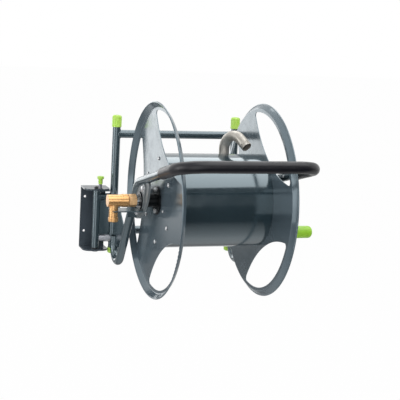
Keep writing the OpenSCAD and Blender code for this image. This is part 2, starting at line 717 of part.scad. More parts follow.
wall_bracket();
pivot_bolt();
pivot_nut();
plunger_sleeve();
plunger_pin();
plunger_knob();
swivel_tube();
swivel_bushes();
index_plate();
upper_stub();
lower_stub();
hinge_plate();
left_post();
right_post();
post_caps();
top_bar();
lower_bar();
left_side_tube();
right_side_tube();
handle_tube();
foam_grip();
left_gusset();
right_gusset();
left_web();
right_web();
left_bearing();
right_bearing();
bearing_bolts();
bearing_nuts();
elbow_bracket();
arm_screws();
brass_elbow();
union_nut();
inlet_collar();
left_disc();
right_disc();
core_shell();
core_cup();
drum_shaft();
o_rings();
left_hub();
right_hub();
hub_bolts();
disc_screws();
stud_screws();
feed_block();
gooseneck();
crank_arm();
crank_nut();
knob_bolt();
knob_bolt_nut();
crank_knob();
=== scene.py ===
"""Looks of a wall-hung swivelling hose reel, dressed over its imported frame.

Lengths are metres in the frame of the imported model: the origin is the centre of
the wall holes, -Y points out of the wall, +Z is up. Sizes in the dataclasses are
millimetres, as in the part's own source.
"""

import logging
import math
from dataclasses import dataclass, field
from enum import Enum
from typing import Iterable, Sequence

import bmesh
import bpy
from mathutils import Matrix, Vector


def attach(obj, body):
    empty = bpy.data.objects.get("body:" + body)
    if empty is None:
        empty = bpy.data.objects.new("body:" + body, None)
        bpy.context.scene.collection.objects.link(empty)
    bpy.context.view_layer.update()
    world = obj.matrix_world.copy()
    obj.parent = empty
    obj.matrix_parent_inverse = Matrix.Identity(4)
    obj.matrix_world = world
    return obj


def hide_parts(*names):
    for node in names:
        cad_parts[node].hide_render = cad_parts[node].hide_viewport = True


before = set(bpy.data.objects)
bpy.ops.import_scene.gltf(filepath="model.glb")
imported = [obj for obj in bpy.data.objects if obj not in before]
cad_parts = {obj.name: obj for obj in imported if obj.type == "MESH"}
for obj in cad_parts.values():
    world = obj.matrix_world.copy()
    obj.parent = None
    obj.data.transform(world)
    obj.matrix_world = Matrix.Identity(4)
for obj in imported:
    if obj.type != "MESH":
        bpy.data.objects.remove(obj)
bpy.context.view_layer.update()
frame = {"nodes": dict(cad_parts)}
LOG = logging.getLogger("hose_reel")
NODES: dict[str, bpy.types.Object] = frame["nodes"]

Colour = tuple[float, float, float]
Point = tuple[float, float, float]
Ring = list[Vector]

MM = 0.001
AXIS = Vector((0.2215, -0.338, 0.097))
X, Y, Z = Vector((1.0, 0.0, 0.0)), Vector((0.0, 1.0, 0.0)), Vector((0.0, 0.0, 1.0))
WHITE = (1.0, 1.0, 1.0, 1.0)
SIDES = (-1.0, 1.0)


class Body(Enum):
    """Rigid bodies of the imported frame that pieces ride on."""

    WALL = "wall_mount"
    LOCK = "lock_plunger"
    SWING = "swing_frame"
    DRUM = "drum"
    GRIP = "crank_grip"


def at_drum(x: float, y: float, z: float) -> Vector:
    """Return a point in metres, given in millimetres right, back and up from the drum centre."""
    return AXIS + Vector((x, y, z)) * MM


def runs(points: Sequence[Vector]) -> list[float]:
    """Return how far each point lies along a line of points in metres, in millimetres.

    Args:
        points: points of the line, in metres.

    Returns:
        The running lengths, in millimetres.
    """
    lengths = [0.0]
    for before, after in zip(points, points[1:]):
        lengths.append(lengths[-1] + (after - before).length / MM)
    return lengths


def smooth_step(value: float, low: float, high: float) -> float:
    """Return 0 below low, 1 above high and an even curve between."""
    t = min(1.0, max(0.0, (value - low) / (high - low)))
    return t * t * (3.0 - 2.0 * t)


def around(steps: int) -> list[tuple[float, float, float]]:
    """Return even angles round a circle, each with its cosine and sine."""
    angles = [2.0 * math.pi * i / steps for i in range(steps)]
    return [(angle, math.cos(angle), math.sin(angle)) for angle in angles]


def ripple(value: float, phase: float) -> float:
    """Return a smooth uneven wave between about -1 and 1."""
    return (math.sin(value + phase) + 0.6 * math.sin(2.3 * value + 1.7 * phase)
            + 0.4 * math.sin(4.1 * value + 0.6 * phase)) / 2.0


# Finishes


class Nodes:
    """Adds and links the nodes of one tree."""

    def __init__(self, tree: bpy.types.NodeTree) -> None:
        """Start from an empty tree."""
        self.tree = tree
        tree.nodes.clear()

    def add(self, kind: str, **values: object) -> bpy.types.Node:
        """Add a node of a kind and set its attributes or inputs.

        Args:
            kind: Blender's node type.
            **values: attributes, or inputs with underscores for blanks.

        Returns:
            The new node.
        """
        node = self.tree.nodes.new(kind)
        for key, value in values.items():
            if hasattr(node, key):
                setattr(node, key, value)
            else:
                node.inputs[key.replace("_", " ")].default_value = value
        return node

    def link(self, source: bpy.types.NodeSocket, target: bpy.types.NodeSocket) -> None:
        """Join an output to an input."""
        self.tree.links.new(source, target)

    def math(self, kind: str, first: bpy.types.NodeSocket | float,
             second: bpy.types.NodeSocket | float) -> bpy.types.NodeSocket:
        """Return the result of a math node on two sockets or numbers.

        Args:
            kind: operation of the node.
            first: first socket or number.
            second: second socket or number.

        Returns:
            The result socket.
        """
        node = self.add("ShaderNodeMath", operation=kind)
        for slot, value in enumerate((first, second)):
            if isinstance(value, (int, float)):
                node.inputs[slot].default_value = value
            else:
                self.link(value, node.inputs[slot])
        return node.outputs[0]

    def spread(self, value: bpy.types.NodeSocket, low: float, high: float,
               start: float = 0.3, stop: float = 0.7) -> bpy.types.NodeSocket:
        """Map a value from start..stop onto low..high and return the socket.

        Args:
            value: socket to map.
            low: result at start.
            high: result at stop.
            start: value that gives low.
            stop: value that gives high.

        Returns:
            The result socket.
        """
        node = self.add("ShaderNodeMapRange", From_Min=start, From_Max=stop, To_Min=low,
                        To_Max=high)
        self.link(value, node.inputs["Value"])
        return node.outputs[0]

    def rays(self, *names: str) -> bpy.types.NodeSocket:
        """Return a socket that is 1 for the named kinds of ray.

        Args:
            *names: outputs of the Light Path node.

        Returns:
            The socket.
        """
        path = self.add("ShaderNodeLightPath")
        last = path.outputs[names[0]]
        for other in names[1:]:
            last = self.math("MAXIMUM", last, path.outputs[other])
        return last

    def mix(self, share: bpy.types.NodeSocket, below: bpy.types.NodeSocket,
            above: bpy.types.NodeSocket) -> bpy.types.NodeSocket:
        """Return one shader laid over another by a share.

        Args:
            share: socket with the share of above.
            below: first shader.
            above: second shader.

        Returns:
            The mixed shader.
        """
        node = self.add("ShaderNodeMixShader")
        for slot, source in enumerate((share, below, above)):
            self.link(source, node.inputs[slot])
        return node.outputs[0]


class Graph(Nodes):
    """A material around one Principled shader, on object coordinates."""

    def __init__(self, name: str) -> None:
        """Start a material with a bare shader.

        Args:
            name: name of the material.
        """
        self.material = bpy.data.materials.new(name)
        self.material.use_nodes = True
        super().__init__(self.material.node_tree)
        self.output = self.add("ShaderNodeOutputMaterial")
        self.shader = self.add("ShaderNodeBsdfPrincipled")
        self.link(self.shader.outputs[0], self.output.inputs[0])
        self.coords = self.add("ShaderNodeTexCoord").outputs["Object"]

    def fix(self, **values: float | Sequence[float]) -> None:
        """Set constants on the shader's own sockets, underscores for blanks."""
        for key, value in values.items():
            self.shader.inputs[key.replace("_", " ")].default_value = value

    def feed(self, name: str, source: bpy.types.NodeSocket) -> None:
        """Join an output to a named input of the shader."""
        self.link(source, self.shader.inputs[name])

    def noise(self, scale: float, detail: float = 3.0, rough: float = 0.5,
              stretch: Point = (1.0, 1.0, 1.0)) -> bpy.types.NodeSocket:
        """Return a noise value on object coordinates.

        Args:
            scale: cells per metre.
            detail: octaves.
            rough: weight of the finer octaves.
            stretch: scale of each axis.

        Returns:
            The noise factor socket.
        """
        mapping = self.add("ShaderNodeMapping", Scale=stretch)
        self.link(self.coords, mapping.inputs["Vector"])
        noise = self.add("ShaderNodeTexNoise", Scale=scale, Detail=detail, Roughness=rough)
        self.link(mapping.outputs[0], noise.inputs["Vector"])
        return noise.outputs["Fac"]

    def ramp(self, value: bpy.types.NodeSocket,
             stops: Sequence[tuple[float, Colour]]) -> bpy.types.NodeSocket:
        """Turn a value into a colour.

        Args:
            value: socket between 0 and 1.
            stops: places and colours, lowest first.

        Returns:
            The colour socket.
        """
        ramp = self.add("ShaderNodeValToRGB")
        elements = ramp.color_ramp.elements
        while len(elements) < len(stops):
            elements.new(0.5)
        for element, (place, colour) in zip(elements, stops):
            element.position = place
            element.color = (*colour, 1.0)
        self.link(value, ramp.inputs[0])
        return ramp.outputs[0]

    def bump(self, height: bpy.types.NodeSocket, strength: float, distance: float,
             below: bpy.types.NodeSocket | None = None) -> bpy.types.NodeSocket:
        """Turn a height into a normal, on top of another normal if given.

        Args:
            height: socket with the height.
            strength: share of the full effect.
            distance: depth in metres.
            below: normal that this one is laid over.

        Returns:
            The normal socket.
        """
        node = self.add("ShaderNodeBump", Strength=strength, Distance=distance)
        self.link(height, node.inputs["Height"])
        if below is not None:
            self.link(below, node.inputs["Normal"])
        return node.outputs[0]


def darker(colour: Colour, share: float) -> Colour:
    """Return a colour multiplied by share."""
    return tuple(channel * share for channel in colour)


@dataclass(frozen=True)
class Paint:
    """Glossy powder coat with a faint orange peel and a little dust."""

    name: str
    colour: Colour
    gloss: float = 0.15
    peel: float = 0.07
    wave: float = 0.05
    ior: float = 2.2
    coat: float = 0.3
    tint: Colour = (0.78, 0.93, 1.0)

    def material(self) -> bpy.types.Material:
        """Make the material.

        Returns:
            The new material.
        """
        g = Graph(self.name)
        cloud = g.noise(9.0, 4.0, 0.6)
        g.feed("Base Color", g.ramp(cloud, ((0.25, darker(self.colour, 0.92)),
                                            (0.75, darker(self.colour, 1.08)))))
        smear = g.noise(38.0, 5.0, 0.65)
        g.feed("Roughness", g.spread(smear, self.gloss - 0.03, self.gloss + 0.06))
        peel = g.bump(g.noise(420.0, 2.0), self.peel, 0.0001)
        g.feed("Normal", g.bump(g.noise(24.0, 1.0), self.wave, 0.0009, peel))
        g.fix(IOR=self.ior, Coat_Weight=self.coat, Coat_Roughness=0.05, Coat_IOR=1.5,
              Specular_Tint=(*self.tint, 1.0))
        return g.material


@dataclass(frozen=True)
class Metal:
    """Bare metal: turned, drawn or cast."""

    name: str
    colour: Colour
    rough: float = 0.25
    grain: Point = (1.0, 1.0, 1.0)
    cast: float = 0.0
    stain: Colour | None = None
    bare: float = 1.0

    def material(self) -> bpy.types.Material:
        """Make the material.

        Returns:
            The new material.
        """
        g = Graph(self.name)
        tone = g.noise(26.0, 5.0, 0.62)
        dull = self.stain or darker(self.colour, 0.86)
        g.feed("Base Color", g.ramp(tone, ((0.32, dull), (0.62, self.colour))))
        g.fix(Metallic=self.bare)
        lines = g.noise(300.0, 3.0, 0.6, self.grain)
        g.feed("Roughness", g.spread(lines, self.rough * 0.8, self.rough * 1.25))
        normal = g.bump(lines, 0.08, 0.0001)
        if self.cast > 0:
            normal = g.bump(g.noise(700.0, 2.0), self.cast, 0.0002, normal)
        g.feed("Normal", normal)
        return g.material


@dataclass(frozen=True)
class Plastic:
    """Moulded plastic with a fine spark-eroded grain."""

    name: str
    colour: Colour
    rough: float = 0.35
    grain: float = 0.12
    glow: float = 0.0
    shine: float = 0.5

    def material(self) -> bpy.types.Material:
        """Make the material.

        Returns:
            The new material.
        """
        g = Graph(self.name)
        tone = g.noise(45.0, 3.0)
        g.feed("Base Color", g.ramp(tone, ((0.3, darker(self.colour, 0.93)),
                                           (0.7, darker(self.colour, 1.05)))))
        g.feed("Roughness", g.spread(g.noise(70.0, 4.0), self.rough - 0.05, self.rough + 0.07))
        g.feed("Normal", g.bump(g.noise(1500.0, 2.0), self.grain, 0.0001))
        g.fix(Specular_IOR_Level=self.shine)
        if self.glow > 0:
            g.fix(Subsurface_Weight=self.glow, Subsurface_Scale=0.002,
                  Subsurface_Radius=(0.6, 1.0, 0.25))
        return g.material


@dataclass(frozen=True)
class Foam:
    """Closed-cell rubber foam with open pores, scuffs and a soft sheen."""

    name: str
    colour: Colour

    def material(self) -> bpy.types.Material:
        """Make the material.

        Returns:
            The new material.
        """
        g = Graph(self.name)
        patch = g.noise(30.0, 4.0, 0.6)
        g.feed("Base Color", g.ramp(patch, ((0.3, darker(self.colour, 0.8)),
                                            (0.7, darker(self.colour, 1.2)))))
        g.feed("Roughness", g.spread(g.noise(55.0, 4.0, 0.6), 0.31, 0.41))
        g.fix(Specular_IOR_Level=0.42, Sheen_Weight=0.03, Sheen_Roughness=0.4)
        cells = g.add("ShaderNodeTexVoronoi", Scale=1300.0)
        g.link(g.coords, cells.inputs["Vector"])
        pores = g.bump(cells.outputs["Distance"], 0.22, 0.0002)
        g.feed("Normal", g.bump(patch, 0.2, 0.0008, pores))
        return g.material


SLATE: Colour = (0.020, 0.034, 0.042)


@dataclass
class Finishes:
    """All materials of the reel, each made once."""

    def __post_init__(self) -> None:
        """Make the materials."""
        self.frame = Paint("frame_enamel", SLATE, gloss=0.20, coat=0.1).material()
        # The plate enamel is the frame paint made paler: painted light on the gussets and bearing
        # flanges.
        self.plate = Paint("plate_enamel_painted_light", (0.125, 0.140, 0.148), gloss=0.36, peel=0.12, ior=1.9,
                           coat=0.0, tint=(0.95, 1.0, 0.98)).material()
        self.bracket = Paint("bracket_enamel", (0.048, 0.060, 0.074), gloss=0.22, ior=1.45,
                             coat=0.1).material()
        self.gunmetal = Metal("gunmetal", (0.17, 0.175, 0.19), rough=0.28, bare=0.7).material()
        self.disc = Paint("disc_enamel", (0.066, 0.090, 0.108), gloss=0.14, peel=0.03,
                          wave=0.008, ior=2.0, coat=0.0).material()
        self.core = Paint("core_enamel", (0.018, 0.032, 0.040), gloss=0.12, wave=0.04).material()
        self.hub = Plastic("hub_black", (0.004, 0.005, 0.006), rough=0.18, shine=0.2).material()
        self.black = Plastic("black_steel", (0.010, 0.010, 0.012), rough=0.30).material()
        self.zinc = Metal("bright_zinc", (0.74, 0.75, 0.77), rough=0.26, bare=0.7).material()
        self.dull_zinc = Metal("dull_zinc", (0.60, 0.61, 0.66), rough=0.30, bare=0.6).material()
        self.steel = Metal("stainless", (0.52, 0.50, 0.46), rough=0.40,
                           grain=(0.3, 1.0, 1.0), stain=(0.36, 0.34, 0.30), bare=0.8).material()
        self.chrome = Metal("shaft_steel", (0.66, 0.67, 0.68), rough=0.12).material()
        self.brass = Metal("cast_brass", (0.72, 0.42, 0.18), rough=0.24, cast=0.03,
                           stain=(0.66, 0.37, 0.15), bare=0.72).material()
        self.turned_brass = Metal("turned_brass", (0.80, 0.50, 0.25), rough=0.20,
                                  grain=(1.0, 0.2, 0.2), bare=0.5).material()
        self.green = Plastic("green_plastic", (0.29, 0.57, 0.035), rough=0.33,
                             glow=0.15).material()
        self.pale_green = Plastic("cap_plastic", (0.38, 0.62, 0.085), rough=0.36,
                                  glow=0.15).material()
        self.nylon = Plastic("black_nylon", (0.02, 0.02, 0.022), rough=0.5).material()
        self.foam = Foam("black_foam", (0.0050, 0.0052, 0.0085)).material()


# Mesh helpers


class Shape:
    """Collects rings of points into one closed mesh."""

    def __init__(self) -> None:
        """Start with no points."""
        self.verts: list[Vector] = []
        self.faces: list[tuple[int, ...]] = []

    def rings(self, rings: Sequence[Ring], loop: bool = False) -> None:
        """Join rings of equal count by quads; open stacks get fan ends.

        Args:
            rings: rings of points, in order.
            loop: True joins the last ring to the first, for a bored part.
        """
        count = len(rings[0])
        start = len(self.verts)
        for ring in rings:
            self.verts.extend(ring)
        pairs = len(rings) if loop else len(rings) - 1
        for k in range(pairs):
            a, b = start + k * count, start + (k + 1) % len(rings) * count
            for i in range(count):
                j = (i + 1) % count
                self.faces.append((a + i, a + j, b + j, b + i))
        if loop:
            return
        for first, flip in ((start, True), (start + (len(rings) - 1) * count, False)):
            middle = len(self.verts)
            self.verts.append(sum((self.verts[first + i] for i in range(count)), Vector()) / count)
            for i in range(count):
                edge = (first + i, first + (i + 1) % count)
                self.faces.append((*(edge[::-1] if flip else edge), middle))

    def turned(self, base: Vector, along: Vector, profile: Sequence[tuple[float, float]],
               steps: int = 48, loop: bool = False) -> None:
        """Turn a profile of places and radii, in millimetres, about an axis from its base."""
        self.rings([circle(base + along.normalized() * place * MM, along, radius * MM, steps)
                    for place, radius in profile], loop)

    def hexagon(self, base: Vector, along: Vector, flats: float, length: float,
                bore: float = 0.0, both: bool = False, steps: int = 72) -> None:
        """Add a hexagon head or nut with chamfered corners.

        Args:
            base: centre of its seat.
            along: direction from the seat to the top.
            flats: width across the flats in millimetres.
            length: height in millimetres.
            bore: bore radius in millimetres, 0 for a head.
            both: True chamfers the seat side as well.
            steps: points round the axis, a multiple of six.
        """
        w = along.normalized()
        u, v = across(w)
        half = flats / 2.0
        top_r = half * 0.96
        bevel = 0.8

        def ring(level: float, share: float) -> Ring:
            """Return one ring of the outside.

            Args:
                level: height above the seat in millimetres.
                share: 0 on the chamfer circle, 1 on the hexagon.

            Returns:
                The points of the ring.
            """
            points = []
            for angle, c, s in around(steps):
                corner = half / math.cos((angle + math.pi / 6) % (math.pi / 3) - math.pi / 6)
                radius = top_r + (corner - top_r) * share
                drop = max(0.0, radius - top_r) * 0.55
                place = level - drop if level > length / 2 else level + (drop if both else 0.0)
                points.append(base + (w * place + (u * c + v * s) * radius) * MM)
            return points

        rings = [ring(0.0, 0.0)] if both else []
        rings += [ring(0.0, 0.97), ring(0.35, 1.0), ring(length - 0.35, 1.0),
                  ring(length, 0.9), ring(length, 0.0)]
        if bore > 0:
            rings += [circle(base + w * place * MM, w, radius * MM, steps) for place, radius in
                      ((length, bore + bevel), (length - bevel, bore), (bevel, bore),
                       (0.0, bore + bevel))]
        self.rings(rings, bore > 0)

    def thread(self, base: Vector, along: Vector, radius: float, length: float,
               pitch: float, depth: float, steps: int = 36) -> None:
        """Add a threaded stud with a chamfered end.

        Args:
            base: centre of its root.
            along: direction to its end.
            radius: outer radius in millimetres.
            length: length in millimetres.
            pitch: rise of one turn in millimetres.
            depth: depth of the thread in millimetres.
            steps: points round the axis.
        """
        w = along.normalized()
        u, v = across(w)
        rings = []
        count = max(2, int(length / pitch * 6))
        for k in range(count + 1):
            place = length * k / count
            fade = smooth_step(length - place, 0.0, pitch)
            ring = []
            for i, (_, c, s) in enumerate(around(steps)):
                wave = abs(((place / pitch - i / steps) % 1.0) * 2.0 - 1.0)
                reach = radius - depth * (1.0 - wave) - (1.0 - fade) * depth
                ring.append(base + (w * place + (u * c + v * s) * reach) * MM)
            rings.append(ring)
        self.rings(rings)

    def mesh(self, name: str, sharp: float = 40.0) -> bpy.types.Mesh:
        """Return the mesh with outward faces.

        Args:
            name: name of the mesh.
            sharp: edges above this angle in degrees stay crisp.

        Returns:
            The new mesh.
        """
        mesh = bpy.data.meshes.new(name)
        mesh.from_pydata([tuple(point) for point in self.verts], [], self.faces)
        cleaned(mesh)
        shaded(mesh, sharp)
        return mesh

    def fit(self, name: str, material: bpy.types.Material, body: Body, slot: str,
            *hidden: str, sharp: float = 40.0) -> bpy.types.Object:
        """Make the mesh and let it ride; the arguments are those of mesh and fitted."""
        return fitted(name, self.mesh(name, sharp), material, body, slot, *hidden)


def across(along: Vector) -> tuple[Vector, Vector]:
    """Return two unit directions square to one direction and to each other.

    Args:
        along: the one direction.

    Returns:
        The two others.
    """
    helper = Z if abs(along.normalized().dot(Z)) < 0.9 else Y
    u = along.cross(helper).normalized()
    return u, along.normalized().cross(u)


def circle(centre: Vector, along: Vector, radius: float, steps: int) -> Ring:
    """Return points on a circle square to a direction, in metres."""
    u, v = across(along)
    return [centre + (u * c + v * s) * radius for _, c, s in around(steps)]


def cleaned(mesh: bpy.types.Mesh) -> None:
    """Merge doubles and turn all faces of a mesh outward.

    Args:
        mesh: mesh to clean.
    """
    work = bmesh.new()
    work.from_mesh(mesh)
    bmesh.ops.remove_doubles(work, verts=work.verts, dist=1e-6)
    bmesh.ops.recalc_face_normals(work, faces=work.faces)
    work.to_mesh(mesh)
    work.free()


def shaded(mesh: bpy.types.Mesh, sharp: float) -> None:
    """Shade a mesh smooth, with edges above an angle in degrees kept crisp."""
    mesh.polygons.foreach_set("use_smooth", [True] * len(mesh.polygons))
    mesh.set_sharp_from_angle(angle=math.radians(sharp))


def settled(piece: bpy.types.Object) -> bpy.types.Mesh:
    """Turn an object with modifiers into a plain mesh.

    Args:
        piece: object with its modifiers; it is deleted.

    Returns:
        The plain mesh.
    """
    graph = bpy.context.evaluated_depsgraph_get()
    mesh = bpy.data.meshes.new_from_object(piece.evaluated_get(graph),
                                           preserve_all_data_layers=True, depsgraph=graph)
    bpy.data.objects.remove(piece)
    return mesh


def placed(name: str, data: bpy.types.ID) -> bpy.types.Object:
    """Put a mesh, lamp or camera into the scene as an object at the origin.

    Args:
        name: name of the object.
        data: its mesh, lamp or camera.

    Returns:
        The new object.
    """
    piece = bpy.data.objects.new(name, data)
    bpy.context.scene.collection.objects.link(piece)
    return piece


def fitted(name: str, mesh: bpy.types.Mesh, material: bpy.types.Material, body: Body,
           slot: str, *hidden: str) -> bpy.types.Object:
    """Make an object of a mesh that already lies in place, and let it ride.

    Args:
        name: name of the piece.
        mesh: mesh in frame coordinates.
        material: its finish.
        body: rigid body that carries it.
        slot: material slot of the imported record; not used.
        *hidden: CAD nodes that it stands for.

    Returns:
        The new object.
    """
    piece = placed(name, mesh)
    mesh.materials.clear()
    mesh.materials.append(material)
    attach(piece, body.value)
    if hidden:
        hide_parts(*hidden)
    LOG.info("%s: %d faces on %s", name, len(mesh.polygons), body.value)
    return piece


def eased(node: str, material: bpy.types.Material, body: Body, slot: str,
          width: float = 0.6, segments: int = 2, corner: float = 32.0) -> bpy.types.Object:
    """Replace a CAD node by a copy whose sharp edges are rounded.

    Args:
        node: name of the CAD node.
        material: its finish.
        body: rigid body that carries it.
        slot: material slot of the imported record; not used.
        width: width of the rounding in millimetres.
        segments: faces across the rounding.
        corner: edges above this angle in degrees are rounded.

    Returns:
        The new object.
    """
    mesh = NODES[node].data.copy()
    work = bmesh.new()
    work.from_mesh(mesh)
    bmesh.ops.remove_doubles(work, verts=work.verts, dist=2e-6)
    bmesh.ops.dissolve_limit(work, angle_limit=math.radians(0.5), verts=work.verts,
                             edges=work.edges)
    work.to_mesh(mesh)
    work.free()
    mesh.polygons.foreach_set("use_smooth", [True] * len(mesh.polygons))
    rough = placed(node + "_work", mesh)
    bevel = rough.modifiers.new("ease", "BEVEL")
    bevel.width = width * MM
    bevel.segments = segments
    bevel.limit_method = "ANGLE"
    bevel.angle_limit = math.radians(corner)
    bevel.miter_outer = "MITER_ARC"
    flat = rough.modifiers.new("flat", "WEIGHTED_NORMAL")
    flat.mode = "FACE_AREA"
    flat.weight = 90
    return fitted(node + "_eased", settled(rough), material, body, slot, node)


def dress(material: bpy.types.Material, *names: str) -> None:
    """Give CAD nodes a material.

    Args:
        material: the finish.
        *names: names of the nodes.
    """
    for name in names:
        mesh = NODES[name].data
        if mesh.materials:
            for index in range(len(mesh.materials)):
                mesh.materials[index] = material
        else:
            mesh.materials.append(material)
        LOG.info("%s dressed in %s", name, material.name)


# What repeats: Geometry Nodes


class Tree(Nodes):
    """A Geometry Nodes tree with named inputs."""

    def __init__(self, name: str) -> None:
        """Start a tree that takes and gives geometry.

        Args:
            name: name of the tree.
        """
        super().__init__(bpy.data.node_groups.new(name, "GeometryNodeTree"))
        for way in ("INPUT", "OUTPUT"):
            self.tree.interface.new_socket("Geometry", in_out=way,
                                           socket_type="NodeSocketGeometry")
        self.start = self.add("NodeGroupInput")
        self.stop = self.add("NodeGroupOutput")
        self.sockets: dict[str, str] = {}

    def knob(self, name: str, kind: str) -> bpy.types.NodeSocket:
        """Add a named input.

        Args:
            name: name of the input.
            kind: its kind, such as Float or Material.

        Returns:
            The socket that gives its value.
        """
        socket = self.tree.interface.new_socket(name, in_out="INPUT",
                                                socket_type="NodeSocket" + kind)
        self.sockets[name] = socket.identifier
        return next(s for s in self.start.outputs if s.identifier == socket.identifier)

    def chain(self, kind: str, joins: dict[str, bpy.types.NodeSocket],
              **values: object) -> bpy.types.NodeSocket:
        """Add a node, join sockets to its inputs and return its first output.

        Args:
            kind: Blender's node type.
            joins: names of inputs and the sockets that feed them.
            **values: attributes, or inputs with underscores for blanks.

        Returns:
            The first output of the node.
        """
        node = self.add(kind, **values)
        for name, source in joins.items():
            self.link(source, node.inputs[name])
        return node.outputs[0]

    def finish(self, geometry: bpy.types.NodeSocket, material: bpy.types.NodeSocket) -> None:
        """Realize the instances, set the material and end the tree."""
        real = self.chain("GeometryNodeRealizeInstances", {"Geometry": geometry})
        self.link(self.chain("GeometryNodeSetMaterial", {"Geometry": real, "Material": material}),
                  self.stop.inputs[0])

    def apply(self, piece: bpy.types.Object, **values: object) -> bpy.types.Mesh:
        """Run the tree on an object and return the plain mesh.

        Args:
            piece: object whose mesh the tree reads; it is deleted.
            **values: values of the named inputs, underscores for blanks.

        Returns:
            The finished mesh.
        """
        modifier = piece.modifiers.new("make", "NODES")
        modifier.node_group = self.tree
        for key, value in values.items():
            modifier[self.sockets[key.replace("_", " ")]] = value
        return settled(piece)


def weld_tree(seed: int) -> Tree:
    """Make a tree that lays overlapping weld drops along the edges of a mesh.

    Args:
        seed: fixed seed of the drops' sizes.

    Returns:
        The tree.
    """
    tree = Tree("weld_drops")
    radius, pitch = tree.knob("Drop Radius", "Float"), tree.knob("Drop Pitch", "Float")
    finish = tree.knob("Finish", "Material")
    curve = tree.chain("GeometryNodeMeshToCurve", {"Mesh": tree.start.outputs[0]})
    even = tree.chain("GeometryNodeResampleCurve", {"Curve": curve, "Length": pitch},
                      mode="LENGTH")
    drop = tree.chain("GeometryNodeMeshIcoSphere", {"Radius": radius}, Subdivisions=2)
    tangent = tree.chain("GeometryNodeInputTangent", {})
    turn = tree.chain("FunctionNodeAlignEulerToVector", {"Vector": tangent}, axis="X")
    size = tree.chain("FunctionNodeRandomValue", {}, data_type="FLOAT_VECTOR",
                      Min=(0.85, 0.9, 0.9), Max=(1.1, 1.12, 1.12), Seed=seed)
    tree.finish(tree.chain("GeometryNodeInstanceOnPoints",
                           {"Points": even, "Instance": drop, "Rotation": turn, "Scale": size}),
                finish)
    return tree


def fastener_tree() -> Tree:
    """Make a tree that sets one fastener at each vertex, each turned its own way.

    Returns:
        The tree.
    """
    tree = Tree("fastener_rows")
    item, axis = tree.knob("Fastener", "Object"), tree.knob("Axis", "Vector")
    seed, finish = tree.knob("Seed", "Int"), tree.knob("Finish", "Material")
    info = tree.add("GeometryNodeObjectInfo", transform_space="ORIGINAL")
    tree.link(item, info.inputs["Object"])
    aim = tree.chain("FunctionNodeAlignEulerToVector", {"Vector": axis}, axis="Z")
    rows = tree.chain("GeometryNodeInstanceOnPoints",
                      {"Points": tree.start.outputs[0], "Instance": info.outputs["Geometry"],
                       "Rotation": aim})
    spin = tree.chain("FunctionNodeRandomValue", {"Seed": seed}, data_type="FLOAT_VECTOR",
                      Min=(0.0, 0.0, 0.0), Max=(0.0, 0.0, 6.28))
    tree.finish(tree.chain("GeometryNodeRotateInstances", {"Instances": rows, "Rotation": spin}),
                finish)
    return tree


def lines_mesh(name: str, lines: Iterable[Sequence[Vector]], ring: bool = False) -> bpy.types.Mesh:
    """Make a mesh of edge chains.

    Args:
        name: name of the mesh.
        lines: chains of points; a chain of one point is a vertex.
        ring: True closes each chain.

    Returns:
        The mesh.
    """
    verts: list[tuple[float, ...]] = []
    edges: list[tuple[int, int]] = []
    for line in lines:
        start = len(verts)
        verts.extend(tuple(point) for point in line)
        edges.extend((k, k + 1) for k in range(start, len(verts) - 1))
        if ring:
            edges.append((len(verts) - 1, start))
    mesh = bpy.data.meshes.new(name)
    mesh.from_pydata(verts, edges, [])
    return mesh


class Head(Enum):
    """Kinds of fastener head."""

    PAN_CROSS = "pan with a cross recess"
    HEX = "hexagon with a washer face"
    NUT = "hexagon nut with the thread end"


def fastener(head: Head, width: float, height: float, shank: float) -> bpy.types.Mesh:
    """Return one fastener standing on the origin along Z.

    Args:
        head: kind of head.
        width: head diameter or width across flats in millimetres.
        height: head height in millimetres.
        shank: shank or thread radius in millimetres.

    Returns:
        The mesh.
    """
    shape = Shape()
    origin = Vector()
    if head is Head.PAN_CROSS:
        shape.rings(pan_rings(width / 2.0, height))
    elif head is Head.HEX:
        shape.turned(origin, Z, ((0.0, width * 0.56), (0.9, width * 0.56), (1.1, width * 0.545),
                                 (1.1, 0.2)), 48)
        shape.hexagon(Z * 1.0 * MM, Z, width, height - 1.0)
    else:
        shape.hexagon(origin, Z, width, height, bore=shank)
        shape.thread(Z * (height - 2.2) * MM, Z, shank - 0.05, 2.2 if height < 4.0 else 3.4,
                     1.25, 0.5)
    return shape.mesh(head.name.lower(), 35.0)


def pan_rings(radius: float, height: float) -> list[Ring]:
    """Return the rings of a pan head with a cross recess.

    Args:
        radius: head radius in millimetres.
        height: head height in millimetres.

    Returns:
        Rings from the seat to the middle of the top.
    """
    steps = 64
    rings = [circle(Vector(), Z, radius * 0.97 * MM, steps),
             circle(Z * 0.3 * MM, Z, radius * MM, steps)]
    for k in range(1, 17):
        share = 1.0 - k / 17.0
        ring = []
        for _, c, s in around(steps):
            x, y = radius * share * c, radius * share * s
            top = 0.3 + (height - 0.3) * math.sqrt(max(0.0, 1.0 - share ** 3.2))
            arm = min(max(abs(x) / 0.62, abs(y)), max(abs(y) / 0.62, abs(x)))
            slot = min(abs(x), abs(y)) / (radius * 0.17)
            inside = smooth_step(1.25 - slot, 0.0, 0.4) * smooth_step(radius * 0.66 - arm, 0.0, 0.3)
            ring.append(Vector((x, y, top - inside * height * 0.5)) * MM)
        rings.append(ring)
    return rings


